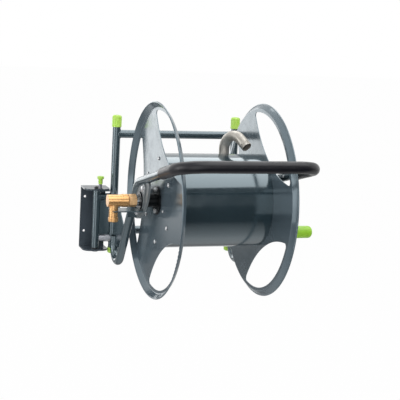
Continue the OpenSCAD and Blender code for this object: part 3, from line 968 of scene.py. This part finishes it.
@dataclass
class Toolbox:
    """Things that every sub-assembly draws on."""

    finishes: Finishes = field(default_factory=Finishes)
    drop_pitch: float = 1.9
    weld_seed: int = 7
    first_seed: int = 11

    def __post_init__(self) -> None:
        """Make the shared trees once."""
        self.welds = weld_tree(self.weld_seed)
        self.rows = fastener_tree()

    def weld(self, name: str, lines: Sequence[Sequence[Vector]], ring: bool = False,
             radius: float = 1.5) -> None:
        """Lay painted weld beads on the swinging frame.

        Args:
            name: name of the piece.
            lines: chains of points that the beads follow.
            ring: True closes each chain.
            radius: radius of a drop in millimetres.
        """
        path = placed(name + "_path", lines_mesh(name + "_path", lines, ring))
        mesh = self.welds.apply(path, Drop_Radius=radius * MM, Drop_Pitch=self.drop_pitch * MM,
                                Finish=self.finishes.frame)
        shaded(mesh, 60.0)
        fitted(name, mesh, self.finishes.frame, Body.SWING, "frame_paint")

    def screws(self, name: str, kind: bpy.types.Mesh, rows: Sequence[tuple[list[Vector], Vector]],
               material: bpy.types.Material, body: Body, slot: str, *hidden: str) -> None:
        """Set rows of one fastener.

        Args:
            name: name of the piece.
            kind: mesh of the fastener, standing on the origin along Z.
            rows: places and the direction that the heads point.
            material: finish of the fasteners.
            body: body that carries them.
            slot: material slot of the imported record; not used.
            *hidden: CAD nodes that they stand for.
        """
        sample = placed(name + "_sample", kind)
        shape = Shape()
        for number, (places, axis) in enumerate(rows):
            base = placed(name + "_at", lines_mesh(name + "_at", [[place] for place in places]))
            mesh = self.rows.apply(base, Fastener=sample, Axis=tuple(axis),
                                   Seed=self.first_seed + number, Finish=material)
            start = len(shape.verts)
            shape.verts.extend(vertex.co.copy() for vertex in mesh.vertices)
            shape.faces.extend(tuple(start + v for v in face.vertices) for face in mesh.polygons)
            bpy.data.meshes.remove(mesh)
        bpy.data.objects.remove(sample)
        shape.fit(name, material, body, slot, *hidden, sharp=35.0)


# Sub-assemblies


@dataclass
class Assembly:
    """One sub-assembly, with the tools that all of them share."""

    tools: Toolbox

    @property
    def looks(self) -> Finishes:
        """Return the shared finishes."""
        return self.tools.finishes


@dataclass
class WallBracket(Assembly):
    """Folded wall bracket with the pivot bolt and the sleeve of the lock."""

    top: float = 79.0
    bottom: float = 94.0
    pivot_out: float = 46.0
    pivot_r: float = 5.0
    lock_x: float = 6.0
    lock_y: float = 13.5
    sheet: float = 4.0

    def build(self) -> None:
        """Make the bracket and what is fixed to it."""
        eased("wall_bracket", self.looks.bracket, Body.WALL, "bracket_paint", 0.8, 3)
        self.bolt()
        self.sleeve()

    def bolt(self) -> None:
        """Make the domed pivot bolt and its thin nut."""
        base = Vector((0.0, -self.pivot_out, self.top)) * MM
        dome = [(0.0, 7.6), (0.4, 7.8), (1.2, 7.7)]
        dome += [(5.5 - 4.3 * (1.0 - math.cos(a)), 7.6 * math.sin(a) if a > 0 else 0.0)
                 for a in (1.25, 1.05, 0.85, 0.65)]
        shape = Shape()
        shape.turned(base, Z, dome + [(5.0, 3.4), (4.8, 2.9), (2.4, 2.8), (2.3, 0.05)], 48)
        low = Vector((0.0, -self.pivot_out, -self.bottom)) * MM
        shape.turned(low - Z * 5.4 * MM, Z, ((0.0, self.pivot_r - 0.9), (0.6, self.pivot_r - 0.1),
                                             (self.top + self.bottom + 6.0, self.pivot_r)), 40)
        shape.fit("pivot_bolt_turned", self.looks.black, Body.WALL, "black_steel", "pivot_bolt")
        nut = Shape()
        nut.hexagon(low, -Z, 2 * self.pivot_r * 1.7, 4.8, bore=self.pivot_r + 0.05, both=True)
        nut.fit("pivot_nut_cut", self.looks.dull_zinc, Body.WALL, "zinc", "pivot_nut", sharp=32.0)

    def sleeve(self) -> None:
        """Make the turned sleeve that guides the lock pin."""
        base = Vector((self.lock_x, -self.pivot_out - self.lock_y, self.top)) * MM
        shape = Shape()
        shape.turned(base, Z, ((-self.sheet, 5.9), (0.0, 6.0), (0.0, 6.3), (0.3, 6.5), (2.1, 6.5),
                               (2.5, 6.2), (2.6, 4.8), (3.0, 4.6), (15.5, 4.6), (16.0, 4.2),
                               (16.0, 3.15), (-self.sheet, 3.15)), 48, loop=True)
        shape.fit("plunger_sleeve_turned", self.looks.gunmetal, Body.WALL, "zinc",
                  "plunger_sleeve")


@dataclass
class LockPlunger(Assembly):
    """Spring plunger with its green pull knob."""

    seat: float = 79.0
    disc_r: float = 9.25
    neck_r: float = 6.0
    at_x: float = 6.0
    at_y: float = -59.5

    def build(self) -> None:
        """Make the knob; the pin keeps its CAD shape."""
        dress(self.looks.chrome, "plunger_pin")
        base = Vector((self.at_x, self.at_y, self.seat)) * MM
        r, n = self.disc_r, self.neck_r
        outer = [(13.5, n - 0.5), (13.9, n), (16.0, n), (16.3, n - 0.35), (16.9, n - 0.35),
                 (17.2, n), (26.0, n), (26.9, n + 0.35), (27.4, r - 1.4)]
        outer += [(29.5 - 2.1 * math.cos(a), r - 1.6 + 1.6 * math.sin(a))
                  for a in (0.35, 0.75, 1.15, 1.57)]
        outer += [(32.6 + 2.2 * math.sin(a), r - 2.0 + 2.0 * math.cos(a))
                  for a in (0.0, 0.4, 0.8, 1.2)]
        outer += [(34.9, 5.6), (34.7, 4.4), (34.7, 0.05)]
        shape = Shape()
        shape.turned(base, Z, [(24.5, 0.05), (24.5, 4.95), (13.5, 5.0)] + outer, 56)
        shape.fit("plunger_knob_moulded", self.looks.pale_green, Body.LOCK, "green_plastic",
                  "plunger_knob", sharp=50.0)


@dataclass
class Frame(Assembly):
    """Swivel, posts, bars, side tubes, hub plates and webs, with their welds."""

    half: float = 172.5
    tube_r: float = 11.0
    post_back: float = 292.0
    bar_front: float = 305.0
    bar_up: float = 131.5
    arm_slope: float = math.radians(14.7)
    leg_slope: float = math.radians(57.0)
    knee_back: float = 49.0
    bend_r: float = 60.0
    foot_r: float = 38.0
    top_bar: float = 132.5
    low_bar: float = -136.5
    plate: float = 3.0
    web: float = 1.5
    post_up: float = 184.0
    post_down: float = 201.0
    pivot_gap: float = 49.0
    swivel_r: float = 10.0
    stubs: tuple[Point, ...] = ((-42.0, 9.5, 9.5), (-158.5, 8.0, 10.0))
    gusset_front: float = -48.0
    gusset_low: float = -58.0
    web_leg_top: float = -113.0
    web_post_top: float = -19.0
    ring_steps: int = 48

    def __post_init__(self) -> None:
        """Derive the corners of the side tubes."""
        self.knee_z = self.bar_up - math.tan(self.arm_slope) * (self.knee_back + self.bar_front)
        turn = (self.leg_slope - self.arm_slope) / 2.0
        reach = self.bend_r * math.tan(turn)
        self.bend_y = (self.knee_back - reach * math.cos(self.arm_slope)
                       - self.bend_r * math.sin(self.arm_slope))
        self.bend_z = (self.knee_z + reach * math.sin(self.arm_slope)
                       - self.bend_r * math.cos(self.arm_slope))
        self.leg_back = self.post_back - 2.0 * self.tube_r - 1.2
        foot_y = self.leg_back - self.foot_r
        self.foot_z = self.knee_z - ((foot_y - self.knee_back) * math.sin(self.leg_slope)
                                     - self.foot_r) / math.cos(self.leg_slope)

    def arm_z(self, y: float) -> float:
        """Return the height of the arm's centre line."""
        return self.bar_up - math.tan(self.arm_slope) * (y + self.bar_front)

    def leg_y(self, z: float) -> float:
        """Return how far back the leg's centre line is at a height."""
        return self.knee_back + (self.knee_z - z) / math.tan(self.leg_slope)

    def build(self) -> None:
        """Dress the tubes, round the plates and lay the welds."""
        f = self.looks
        dress(f.dull_zinc, "lower_stub")
        dress(f.frame, "swivel_tube", "upper_stub", "left_post", "right_post",
              "top_bar", "lower_bar", "left_side_tube", "right_side_tube", "handle_tube")
        dress(f.nylon, "swivel_bushes")
        # The gussets take the plate enamel, a paler copy of the frame paint with painted light.
        for name in ("index_plate", "hinge_plate", "left_gusset", "right_gusset", "left_web",
                     "right_web"):
            eased(name, f.plate if "gusset" in name else f.frame, Body.SWING, "frame_paint")
        self.bar_welds()
        self.stub_welds()
        self.plate_welds()
        self.caps()

    def saddle(self, side: float, height: float, radius: float, post: tuple[float, float],
               post_r: float) -> Ring:
        """Return the ring where a bar along X meets an upright tube.

        Args:
            side: -1 where the bar lies left of the tube, 1 where right.
            height: height of the bar.
            radius: radius of the bar.
            post: x and y of the upright tube, from the drum centre.
            post_r: radius of the upright tube.

        Returns:
            Points of the ring, in metres.
        """
        ring = []
        for _, c, s in around(self.ring_steps):
            y = radius * c
            x = side * math.sqrt(max(0.0, (post_r + 0.3) ** 2 - y * y))
            ring.append(at_drum(post[0] + x, post[1] + y, height + radius * s))
        return ring

    def bar_welds(self) -> None:
        """Weld the two cross bars to the posts."""
        rings = [self.saddle(-side, height, self.tube_r, (side * self.half, self.post_back),
                             self.tube_r)
                 for side in SIDES for height in (self.top_bar, self.low_bar)]
        self.tools.weld("bar_welds", rings, ring=True)

    def stub_welds(self) -> None:
        """Weld the two stubs to the swivel tube and the near post."""
        pivot = (-self.half - self.pivot_gap, self.post_back)
        post = (-self.half, self.post_back)
        rings: list[Ring] = []
        for height, at_pivot, at_post in self.stubs:
            rings += [self.saddle(1.0, height, at_pivot, pivot, self.swivel_r),
                      self.saddle(-1.0, height, at_post, post, self.tube_r)]
        self.tools.weld("stub_welds", rings, ring=True, radius=1.3)

    def plate_welds(self) -> None:
        """Weld hub plates and webs to the tubes on both faces."""
        r, arm, leg = self.tube_r, self.arm_slope, self.leg_slope
        lines = []
        for side in SIDES:
            for face in SIDES:
                x = side * self.half + face * (self.plate + 0.2)
                under = math.sqrt(r * r - self.plate ** 2) + 0.2
                seam = [(self.gusset_front, self.arm_z(self.gusset_front) - under / math.cos(arm))]
                for k in range(9):
                    t = math.pi / 2 - arm - (leg - arm) * k / 8
                    seam.append((self.bend_y + (self.bend_r - under) * math.cos(t),
                                 self.bend_z + (self.bend_r - under) * math.sin(t)))
                seam.append((self.leg_y(self.gusset_low) - under / math.sin(leg), self.gusset_low))
                lines.append([at_drum(x, y, z) for y, z in seam])
                x = side * self.half + face * (self.web + 0.2)
                under = math.sqrt(r * r - self.web ** 2) + 0.2
                lines.append([at_drum(x, self.leg_y(z) + under / math.sin(leg), z)
                              for z in (self.web_leg_top, self.foot_z + 2.0)])
                lines.append([at_drum(x, self.post_back - under, z)
                              for z in (self.web_post_top, self.foot_z + 26.0)])
        self.tools.weld("plate_welds", lines, radius=1.3)

    def caps(self) -> None:
        """Mould the four green end caps of the posts."""
        shape = Shape()
        bore = self.tube_r + 0.05
        for side in SIDES:
            foot = at_drum(side * self.half, self.post_back, -self.post_down)
            head = at_drum(side * self.half, self.post_back, self.post_up)
            for end, along, height in ((head, -Z, 32.0), (foot, Z, 16.0)):
                outer = [(0.45, 0.05), (0.45, 4.4), (0.0, 5.0), (0.0, 7.2)]
                outer += [(5.6 * (1 - math.cos(a)), 7.2 + 5.9 * math.sin(a))
                          for a in (0.3, 0.6, 0.9, 1.2, 1.5)]
                outer += [(height - 2.6, 13.1), (height - 2.4, 13.25), (height - 0.5, 13.25),
                          (height, 12.9), (height, bore), (4.0, bore), (4.0, 0.05)]
                shape.turned(end, along, outer, 48)
        shape.fit("post_caps_moulded", self.looks.pale_green, Body.SWING, "green_plastic",
                  "post_caps", sharp=50.0)


@dataclass
class FoamGrip(Assembly):
    """Foam tube on the handle: straight front, two bent corners."""

    frame: Frame
    radius: float = 14.9
    bore: float = 11.25
    start: float = 161.0
    steps: int = 48
    bend_steps: int = 36
    bar_steps: int = 60
    arm_pitch: float = 2.5

    def path(self) -> list[tuple[Vector, Vector, float]]:
        """Lay out the grip's centre line from its left end to its right.

        Returns:
            Centre points, outward sides of the bends and bend shares.
        """
        f = self.frame
        reach = (f.bar_front - self.start) / math.cos(f.arm_slope)
        line: list[tuple[float, float, float, float, float]] = []
        arm = int((reach - f.bend_r) / self.arm_pitch)
        for k in range(arm + 1):
            line.append((-f.half, reach - (reach - f.bend_r) * k / arm, -1.0, 0.0, 0.0))
        for k in range(1, self.bend_steps):
            a = math.pi / 2 * k / self.bend_steps
            line.append((-f.half + f.bend_r * (1 - math.cos(a)), f.bend_r * (1 - math.sin(a)),
                         -math.cos(a), -math.sin(a), math.sin(2 * a)))
        left = line[::-1]
        for k in range(self.bar_steps + 1):
            line.append((-f.half + f.bend_r + (2 * f.half - 2 * f.bend_r) * k / self.bar_steps,
                         0.0, 0.0, -1.0, 0.0))
        line += [(-x, u, -ox, ou, share) for x, u, ox, ou, share in left]
        c, s = math.cos(f.arm_slope), math.sin(f.arm_slope)
        return [(at_drum(x, -f.bar_front + u * c, f.bar_up - u * s),
                 Vector((ox, ou * c, -ou * s)), share) for x, u, ox, ou, share in line]

    def build(self) -> None:
        line = self.path()
        lift = Vector((0.0, math.sin(self.frame.arm_slope), math.cos(self.frame.arm_slope)))
        lengths = runs([spot[0] for spot in line])
        rings: list[Ring] = []
        inner: list[Ring] = []
        for (centre, side, bend), run in zip(line, lengths):
            end = min(run, lengths[-1] - run)
            lip = math.sqrt(max(0.0, 1.0 - (1.0 - min(1.0, end / 3.0)) ** 2))
            ring, hole = [], []
            for _, out, up in around(self.steps):
                fold = bend * max(0.0, -out) ** 1.5 * (0.5 - 0.5 * math.cos(run * 0.75))
                soft = 0.14 * ripple(run * 0.05, 3.0 * out + 1.3) + 0.08 * ripple(run * 0.21, up)
                reach = self.bore + 1.2 + (self.radius - 0.25 - self.bore - 1.2) * lip
                reach += soft * lip - 0.55 * fold
                way = side * out + lift * up
                ring.append(centre + way * reach * MM)
                hole.append(centre + way * self.bore * MM)
            rings.append(ring)
            inner.append(hole)
        shape = Shape()
        shape.rings(rings + inner[::-1], loop=True)
        grip = shape.fit("foam_grip_soft", self.looks.foam, Body.SWING, "foam", "foam_grip",
                         sharp=60.0)


@dataclass
class Bearings(Assembly):
    """Black flanged bearings bolted to the hub plates."""

    plate_x: float = 175.5
    plate_t: float = 6.0
    lobe: float = 42.7
    lobe_turn: float = math.radians(-53.8)
    bolt_r: float = 4.0
    bolt_flats: float = 13.0
    boss_r: float = 23.0
    bore: float = 13.53
    ear_r: float = 11.0
    flange_t: float = 4.0
    steps: int = 120

    def spots(self) -> list[tuple[float, float]]:
        """Return how far back and up the two bolts are from the drum centre."""
        return [(s * self.lobe * math.cos(self.lobe_turn), s * self.lobe * math.sin(self.lobe_turn))
                for s in SIDES]

    def flange(self, side: float, node: str) -> None:
        """Cut the painted two-bolt flange under a boss, in the plate enamel: the frame paint made
        paler, as painted light.

        Args:
            side: -1 for the left, 1 for the right.
            node: name of the CAD node.
        """
        discs = [(0.0, 0.0, self.boss_r + 2.0), *((y, z, self.ear_r) for y, z in self.spots())]
        circle_points = around(self.steps)
        rings: list[Ring] = []
        for place, shrink in ((0.0, 0.0), (3.5, 0.0), (self.flange_t, 0.5)):
            x = side * (self.plate_x + place)
            ring = []
            for _, c, s in circle_points:
                y, z, r = max(discs, key=lambda disc: disc[0] * c + disc[1] * s + disc[2])
                ring.append(at_drum(x, y + (r - shrink) * c, z + (r - shrink) * s))
            rings.append(ring)
        hole = self.boss_r - 2.0
        for place in (self.flange_t, 0.0):
            x = side * (self.plate_x + place)
            rings.append([at_drum(x, hole * c, hole * s) for _, c, s in circle_points])
        plate = Shape()
        plate.rings(rings, loop=True)
        # The flange takes the plate enamel, a paler copy of the frame paint with painted light.
        plate.fit(node + "_flange", self.looks.plate, Body.SWING, "hub_black", node, sharp=30.0)

    def build(self) -> None:
        """Make the bearings, set their bolts and nuts."""
        f = self.looks
        outer, inner = [], []
        for side, node in zip(SIDES, ("left_bearing", "right_bearing")):
            self.flange(side, node)
            boss = Shape()
            boss.turned(at_drum(side * self.plate_x, 0.0, 0.0), X * side,
                        ((0.2, self.bore), (0.2, self.boss_r - 1.0), (4.1, self.boss_r - 1.0),
                         (4.1, self.boss_r), (7.3, self.boss_r), (7.9, self.boss_r - 0.7),
                         (7.9, self.bore + 2.2), (7.3, self.bore + 1.6), (7.0, self.bore)), 64,
                        loop=True)
            boss.fit(node + "_boss", f.hub, Body.SWING, "hub_black", node)
            for rows, place, way in ((outer, self.flange_t, side), (inner, -self.plate_t, -side)):
                rows.append(([at_drum(side * (self.plate_x + place), y, z)
                              for y, z in self.spots()], X * way))
        for node, head, height, rows in (("bearing_bolts", Head.HEX, 5.3, outer),
                                         ("bearing_nuts", Head.NUT, 6.2, inner)):
            self.tools.screws(node + "_hex", fastener(head, self.bolt_flats, height, self.bolt_r),
                              rows, f.zinc, Body.SWING, "zinc", node)
        dress(f.zinc, "arm_screws")


@dataclass
class WaterInlet(Assembly):
    """Brass elbow with its union nut, held by the folded bracket."""

    nut_x: float = -211.5
    nut_flats: float = 29.0
    nut_l: float = 20.7
    nut_bore: float = 13.05

    def build(self) -> None:
        """Round the castings and cut the union nut."""
        f = self.looks
        eased("elbow_bracket", f.frame, Body.SWING, "frame_paint", 0.6, 2)
        eased("brass_elbow", f.brass, Body.SWING, "brass", 0.9, 3)
        eased("inlet_collar", f.brass, Body.SWING, "brass", 0.5, 2)
        shape = Shape()
        shape.hexagon(at_drum(self.nut_x, 0.0, 0.0), X, self.nut_flats, self.nut_l,
                      bore=self.nut_bore, both=True)
        shape.fit("union_nut_cut", f.turned_brass, Body.SWING, "brass", "union_nut", sharp=30.0)


@dataclass
class Drum(Assembly):
    """Two pressed discs, the core between them, hubs, screws and the feed block."""

    half: float = 133.5
    sheet: float = 2.0
    ring: float = 107.0
    stud_ring: float = 58.0
    hub_bolt: float = 27.5
    hub_plate: float = 4.0

    def build(self) -> None:
        """Round the discs, dress the core and set the screws."""
        f = self.looks
        for name in ("left_disc", "right_disc"):
            eased(name, f.disc, Body.DRUM, "disc_paint", 0.45, 2, 40.0)
        dress(f.core, "core_shell", "core_cup")
        dress(f.chrome, "drum_shaft")
        dress(f.nylon, "o_rings")
        dress(f.brass, "feed_block")
        for name in ("left_hub", "right_hub"):
            eased(name, f.hub, Body.DRUM, "hub_black", 0.9, 3)
        face = self.half + self.sheet
        six = [(self.ring, 30.0 + 60.0 * k) for k in range(6)]
        self.rows("disc_screws_pan", fastener(Head.PAN_CROSS, 11.0, 3.2, 2.5), face, six,
                  "disc_screws")
        self.rows("stud_screws_pan", fastener(Head.PAN_CROSS, 7.6, 2.2, 2.0), face,
                  [(self.stud_ring, 161.0), (self.stud_ring, -18.5)], "stud_screws")
        self.rows("hub_bolts_hex", fastener(Head.HEX, 10.0, 4.0, 3.0), face + self.hub_plate,
                  [(self.hub_bolt, 90.0), (self.hub_bolt, -90.0)], "hub_bolts")

    def rows(self, name: str, kind: bpy.types.Mesh, face: float,
             spots: Sequence[tuple[float, float]], node: str) -> None:
        """Set one fastener kind on both discs.

        Args:
            name: name of the piece.
            kind: mesh of the fastener.
            face: distance of the seat from the drum centre.
            spots: radius and angle above the front, in degrees.
            node: CAD node that it stands for.
        """
        rows = [([at_drum(side * face, -r * math.cos(math.radians(a)),
                          r * math.sin(math.radians(a))) for r, a in spots], X * side)
                for side in SIDES]
        self.tools.screws(name, kind, rows, self.looks.zinc, Body.DRUM, "zinc", node)


@dataclass
class Gooseneck(Assembly):
    """Stainless outlet bend with a threaded mouth."""

    foot: Point = (44.0, 20.0, 130.5)
    radius: float = 13.45
    wall: float = 1.7
    bend_r: float = 38.0
    turn: float = math.radians(124.0)
    head: float = math.radians(-67.0)
    mouth: float = 30.0
    tail: float = 115.5
    thread: float = 13.0
    pitch: float = 1.8
    steps: int = 64
    tail_steps: int = 12
    bend_steps: int = 48
    mouth_pitch: float = 0.3

    def __post_init__(self) -> None:
        """Derive the level direction that the mouth heads to."""
        self.level = Vector((math.cos(self.head), math.sin(self.head), 0.0))

    def path(self) -> list[tuple[Vector, Vector]]:
        """Lay out the pipe's centre line from its foot to its mouth.

        Returns:
            Centre points and directions to the inside of the bend.
        """
        level = self.level
        foot = at_drum(*self.foot)
        line = [(foot - Z * (self.tail * (1 - k / self.tail_steps)) * MM, level)
                for k in range(self.tail_steps)]
        for k in range(self.bend_steps + 1):
            t = self.turn * k / self.bend_steps
            line.append((foot + (level * (1 - math.cos(t)) + Z * math.sin(t)) * self.bend_r * MM,
                         level * math.cos(t) - Z * math.sin(t)))
        end, inside = line[-1]
        along = level * math.sin(self.turn) + Z * math.cos(self.turn)
        count = int(self.mouth / self.mouth_pitch)
        line += [(end + along * self.mouth * k / count * MM, inside)
                 for k in range(1, count + 1)]
        return line

    def build(self) -> None:
        """Sweep the pipe with its wall and mouth."""
        side = self.level.cross(Z)
        line = self.path()
        lengths = runs([spot[0] for spot in line])
        outer, inner = [], []
        for (centre, inside), run in zip(line, lengths):
            left = lengths[-1] - run
            ring, hole = [], []
            cut = smooth_step(self.thread - left, 0.0, 2.0)
            for i, (_, c, s) in enumerate(around(self.steps)):
                way = inside * c + side * s
                tooth = abs(((left / self.pitch + i / self.steps) % 1.0) * 2.0 - 1.0)
                reach = self.radius - cut * 0.7 * tooth - 0.8 * smooth_step(0.9 - left, 0.0, 0.9)
                ring.append(centre + way * reach * MM)
                hole.append(centre + way * (self.radius - self.wall) * MM)
            outer.append(ring)
            inner.append(hole)
        shape = Shape()
        shape.rings(outer + inner[::-1], loop=True)
        shape.fit("gooseneck_bent", self.looks.steel, Body.DRUM, "steel", "gooseneck", sharp=50.0)


@dataclass
class Crank(Assembly):
    """Crank bar on the right end of the shaft, with its turning knob."""

    bar_x: float = 189.0
    bar_t: float = 5.0
    reach: float = 119.6
    fall: float = math.radians(33.3)
    knob_r: float = 15.75
    knob_l: float = 53.6

    def build(self) -> None:
        """Round the bar, cut the nuts and mould the knob."""
        f = self.looks
        eased("crank_arm", f.frame, Body.DRUM, "frame_paint", 0.8, 3)
        dress(f.zinc, "knob_bolt")
        hub = at_drum(self.bar_x + self.bar_t, 0.0, 0.0)
        nut = Shape()
        nut.turned(hub, X, ((0.0, 8.1), (0.0, 14.8), (0.3, 15.0), (1.2, 15.0), (1.5, 14.8),
                            (1.5, 8.1)), 48, loop=True)
        nut.hexagon(hub + X * 1.5 * MM, X, 24.0, 9.0, bore=8.05, both=True)
        nut.fit("crank_nut_cut", f.zinc, Body.DRUM, "zinc", "crank_nut", sharp=32.0)
        y, z = -self.reach * math.cos(self.fall), -self.reach * math.sin(self.fall)
        self.tools.screws("knob_nut_hex", fastener(Head.NUT, 13.0, 3.0, 4.0),
                          [([at_drum(self.bar_x, y, z)], -X)], f.zinc, Body.DRUM, "zinc",
                          "knob_bolt_nut")
        base = at_drum(self.bar_x + self.bar_t + 2.7, y, z)
        r, l = self.knob_r, self.knob_l
        profile = [(44.9, 0.05), (44.9, 5.1), (0.2, 5.1), (0.0, 5.4), (0.0, r - 2.0)]
        profile += [(1.7 * (1 - math.cos(a)), r - 2.0 + 1.9 * math.sin(a))
                    for a in (0.5, 1.0, 1.5)]
        profile += [(2.6, r - 0.1), (2.9, r - 0.45), (3.5, r - 0.45), (3.8, r - 0.1),
                    (6.0, r), (l - 11.0, r - 0.1)]
        profile += [(l - 10.4 + 10.0 * math.sin(a), r - 10.2 + 10.0 * math.cos(a))
                    for a in (0.1, 0.3, 0.5, 0.7, 0.9, 1.1, 1.3, 1.5)]
        profile += [(l - 0.35, 3.6), (l - 0.7, 3.2), (l - 0.7, 0.05)]
        knob = Shape()
        knob.turned(base, X, profile, 64)
        knob.fit("crank_knob_moulded", f.green, Body.GRIP, "green_plastic", "crank_knob",
                 sharp=50.0)


# Studio


MIRRORED = ("Is Glossy Ray", "Is Transmission Ray")
LAMPS: tuple[tuple[str, Point, tuple[float, float], float], ...] = (
    ("top_softbox", (0.9, -1.3, 2.3), (3.0, 2.2), 42.0),
    ("back_softbox", (-0.23, 2.6, 0.3), (1.26, 1.6), 9.8),
    ("rear_top_softbox", (0.6, 1.2, 2.2), (2.4, 1.2), 22.0),
    ("left_strip", (-2.6, -0.25, 0.5), (0.5, 2.0), 11.0),
    ("left_softbox", (-0.8, -2.3, 0.15), (1.6, 2.8), 21.0),
    ("side_softbox", (-3.0, -0.9, 0.3), (2.4, 2.2), 22.0),
    ("front_strip", (0.66, -3.3, 0.55), (0.45, 1.6), 7.0))


@dataclass
class Studio:
    """Camera of the photograph, pale floor and soft light."""

    eye: Point = (-0.7283, -3.0463, 0.5925)
    sight: Point = (0.3197, 0.9321, -0.1704)
    up: Point = (0.0044, 0.178, 0.984)
    lens: float = 102.08
    floor_z: float = -0.85
    floor_half: float = 20.0
    floor_white: float = 0.985
    room_light: float = 0.62
    lamp_aim: Point = (0.2, -0.3, 0.05)
    # Levels along Y of the painted light and shade that mirrors see on the floor.
    mirror_bands: tuple[tuple[float, float], ...] = (
        (0.16, 0.02), (0.22, 0.42), (0.27, 0.75), (0.31, 0.6), (0.35, 0.25), (0.44, 0.9),
        (0.50, 0.36), (0.60, 0.2), (0.63, 0.3), (0.68, 0.6), (0.90, 0.7), (0.93, 1.0))

    def camera(self) -> None:
        """Place the camera where the photograph was taken."""
        data = bpy.data.cameras.new("camera")
        data.lens = self.lens
        data.sensor_width = 36.0
        data.clip_end = 50.0
        back = -Vector(self.sight).normalized()
        right = Vector(self.up).cross(back).normalized()
        up = back.cross(right)
        camera = placed("camera", data)
        camera.matrix_world = Matrix((
            (right.x, up.x, back.x, self.eye[0]), (right.y, up.y, back.y, self.eye[1]),
            (right.z, up.z, back.z, self.eye[2]), (0.0, 0.0, 0.0, 1.0)))
        bpy.context.scene.camera = camera

    def lamp(self, name: str, place: Point, size: tuple[float, float], power: float) -> None:
        """Add one soft area lamp aimed at the reel.

        Args:
            name: name of the lamp.
            place: its position.
            size: width and height.
            power: watts.
        """
        data = bpy.data.lights.new(name, "AREA")
        data.shape = "RECTANGLE"
        data.size, data.size_y = size
        data.energy = power
        lamp = placed(name, data)
        lamp.location = place
        aim = Vector(self.lamp_aim) - Vector(place)
        lamp.rotation_euler = aim.to_track_quat("-Z", "Y").to_euler()
        lamp.visible_camera = False

    def world(self) -> None:
        """Fill the room with soft light; mirrors see it white behind and dim in front."""
        world = bpy.data.worlds.new("studio")
        bpy.context.scene.world = world
        world.use_nodes = True
        g = Nodes(world.node_tree)
        parts = g.add("ShaderNodeSeparateXYZ")
        g.link(g.add("ShaderNodeTexCoord").outputs["Generated"], parts.inputs[0])
        dim, mirror, bright = (g.add("ShaderNodeBackground", Color=WHITE, Strength=level)
                               for level in (self.room_light, 1.0, 1.0))
        g.link(g.spread(parts.outputs["Y"], 0.10, 1.0, -0.75, -0.05), mirror.inputs["Strength"])
        last = g.mix(g.rays(*MIRRORED), dim.outputs[0], mirror.outputs[0])
        last = g.mix(g.rays("Is Camera Ray"), last, bright.outputs[0])
        g.link(last, g.add("ShaderNodeOutputWorld").inputs[0])

    def floor(self) -> None:
        """Lay a large pale floor, white where it is seen; for mirrors it glows with painted bands
        of light and shade and a painted bright card.
        """
        g = Graph("pale_floor")
        g.fix(Roughness=0.9, Specular_IOR_Level=0.1, Base_Color=(0.50, 0.50, 0.50, 1.0))
        parts = g.add("ShaderNodeSeparateXYZ")
        g.link(g.coords, parts.inputs[0])
        x, y = parts.outputs["X"], parts.outputs["Y"]
        # Painted reflections: bands of light and shade along Y, and a bright painted card behind
        # and right of the reel, that only mirrors see.
        bands = g.ramp(g.spread(y, 0.0, 1.0, -3.0, 7.0),
                       [(spot, (level,) * 3) for spot, level in self.mirror_bands])
        painted_card_light = g.math("MULTIPLY", g.spread(x, 0.0, 1.0, -0.3, 0.05),
                      g.spread(y, 0.0, 1.0, 0.9, 1.5))
        seen = g.rays("Is Camera Ray")
        glow = g.add("ShaderNodeEmission", Color=WHITE)
        g.link(g.math("MAXIMUM", seen, g.math("MAXIMUM", bands, painted_card_light)), glow.inputs["Strength"])
        share = g.math("MAXIMUM", g.math("MULTIPLY", seen, self.floor_white), g.rays(*MIRRORED))
        g.link(g.mix(share, g.shader.outputs[0], glow.outputs[0]), g.output.inputs[0])
        mesh = bpy.data.meshes.new("floor")
        half = self.floor_half
        mesh.from_pydata([(x, y, self.floor_z) for x, y in
                          ((-half, -half), (half, -half), (half, half), (-half, half))],
                         [], [(0, 1, 2, 3)])
        mesh.materials.append(g.material)
        placed("floor", mesh)

    def build(self) -> None:
        """Set up camera, light and floor."""
        bpy.context.scene.view_settings.view_transform = "Standard"
        self.camera()
        self.world()
        self.floor()
        for lamp in LAMPS:
            self.lamp(*lamp)


def main() -> None:
    """Build the studio and every sub-assembly, in order."""
    Studio().build()
    tools = Toolbox()
    WallBracket(tools).build()
    LockPlunger(tools).build()
    frame_work = Frame(tools)
    frame_work.build()
    FoamGrip(tools, frame_work).build()
    Bearings(tools).build()
    WaterInlet(tools).build()
    Drum(tools).build()
    Gooseneck(tools).build()
    Crank(tools).build()
    LOG.info("all sub-assemblies are built")


if __name__ == "__main__":
    logging.basicConfig(level=logging.INFO, format="%(message)s")
    main()
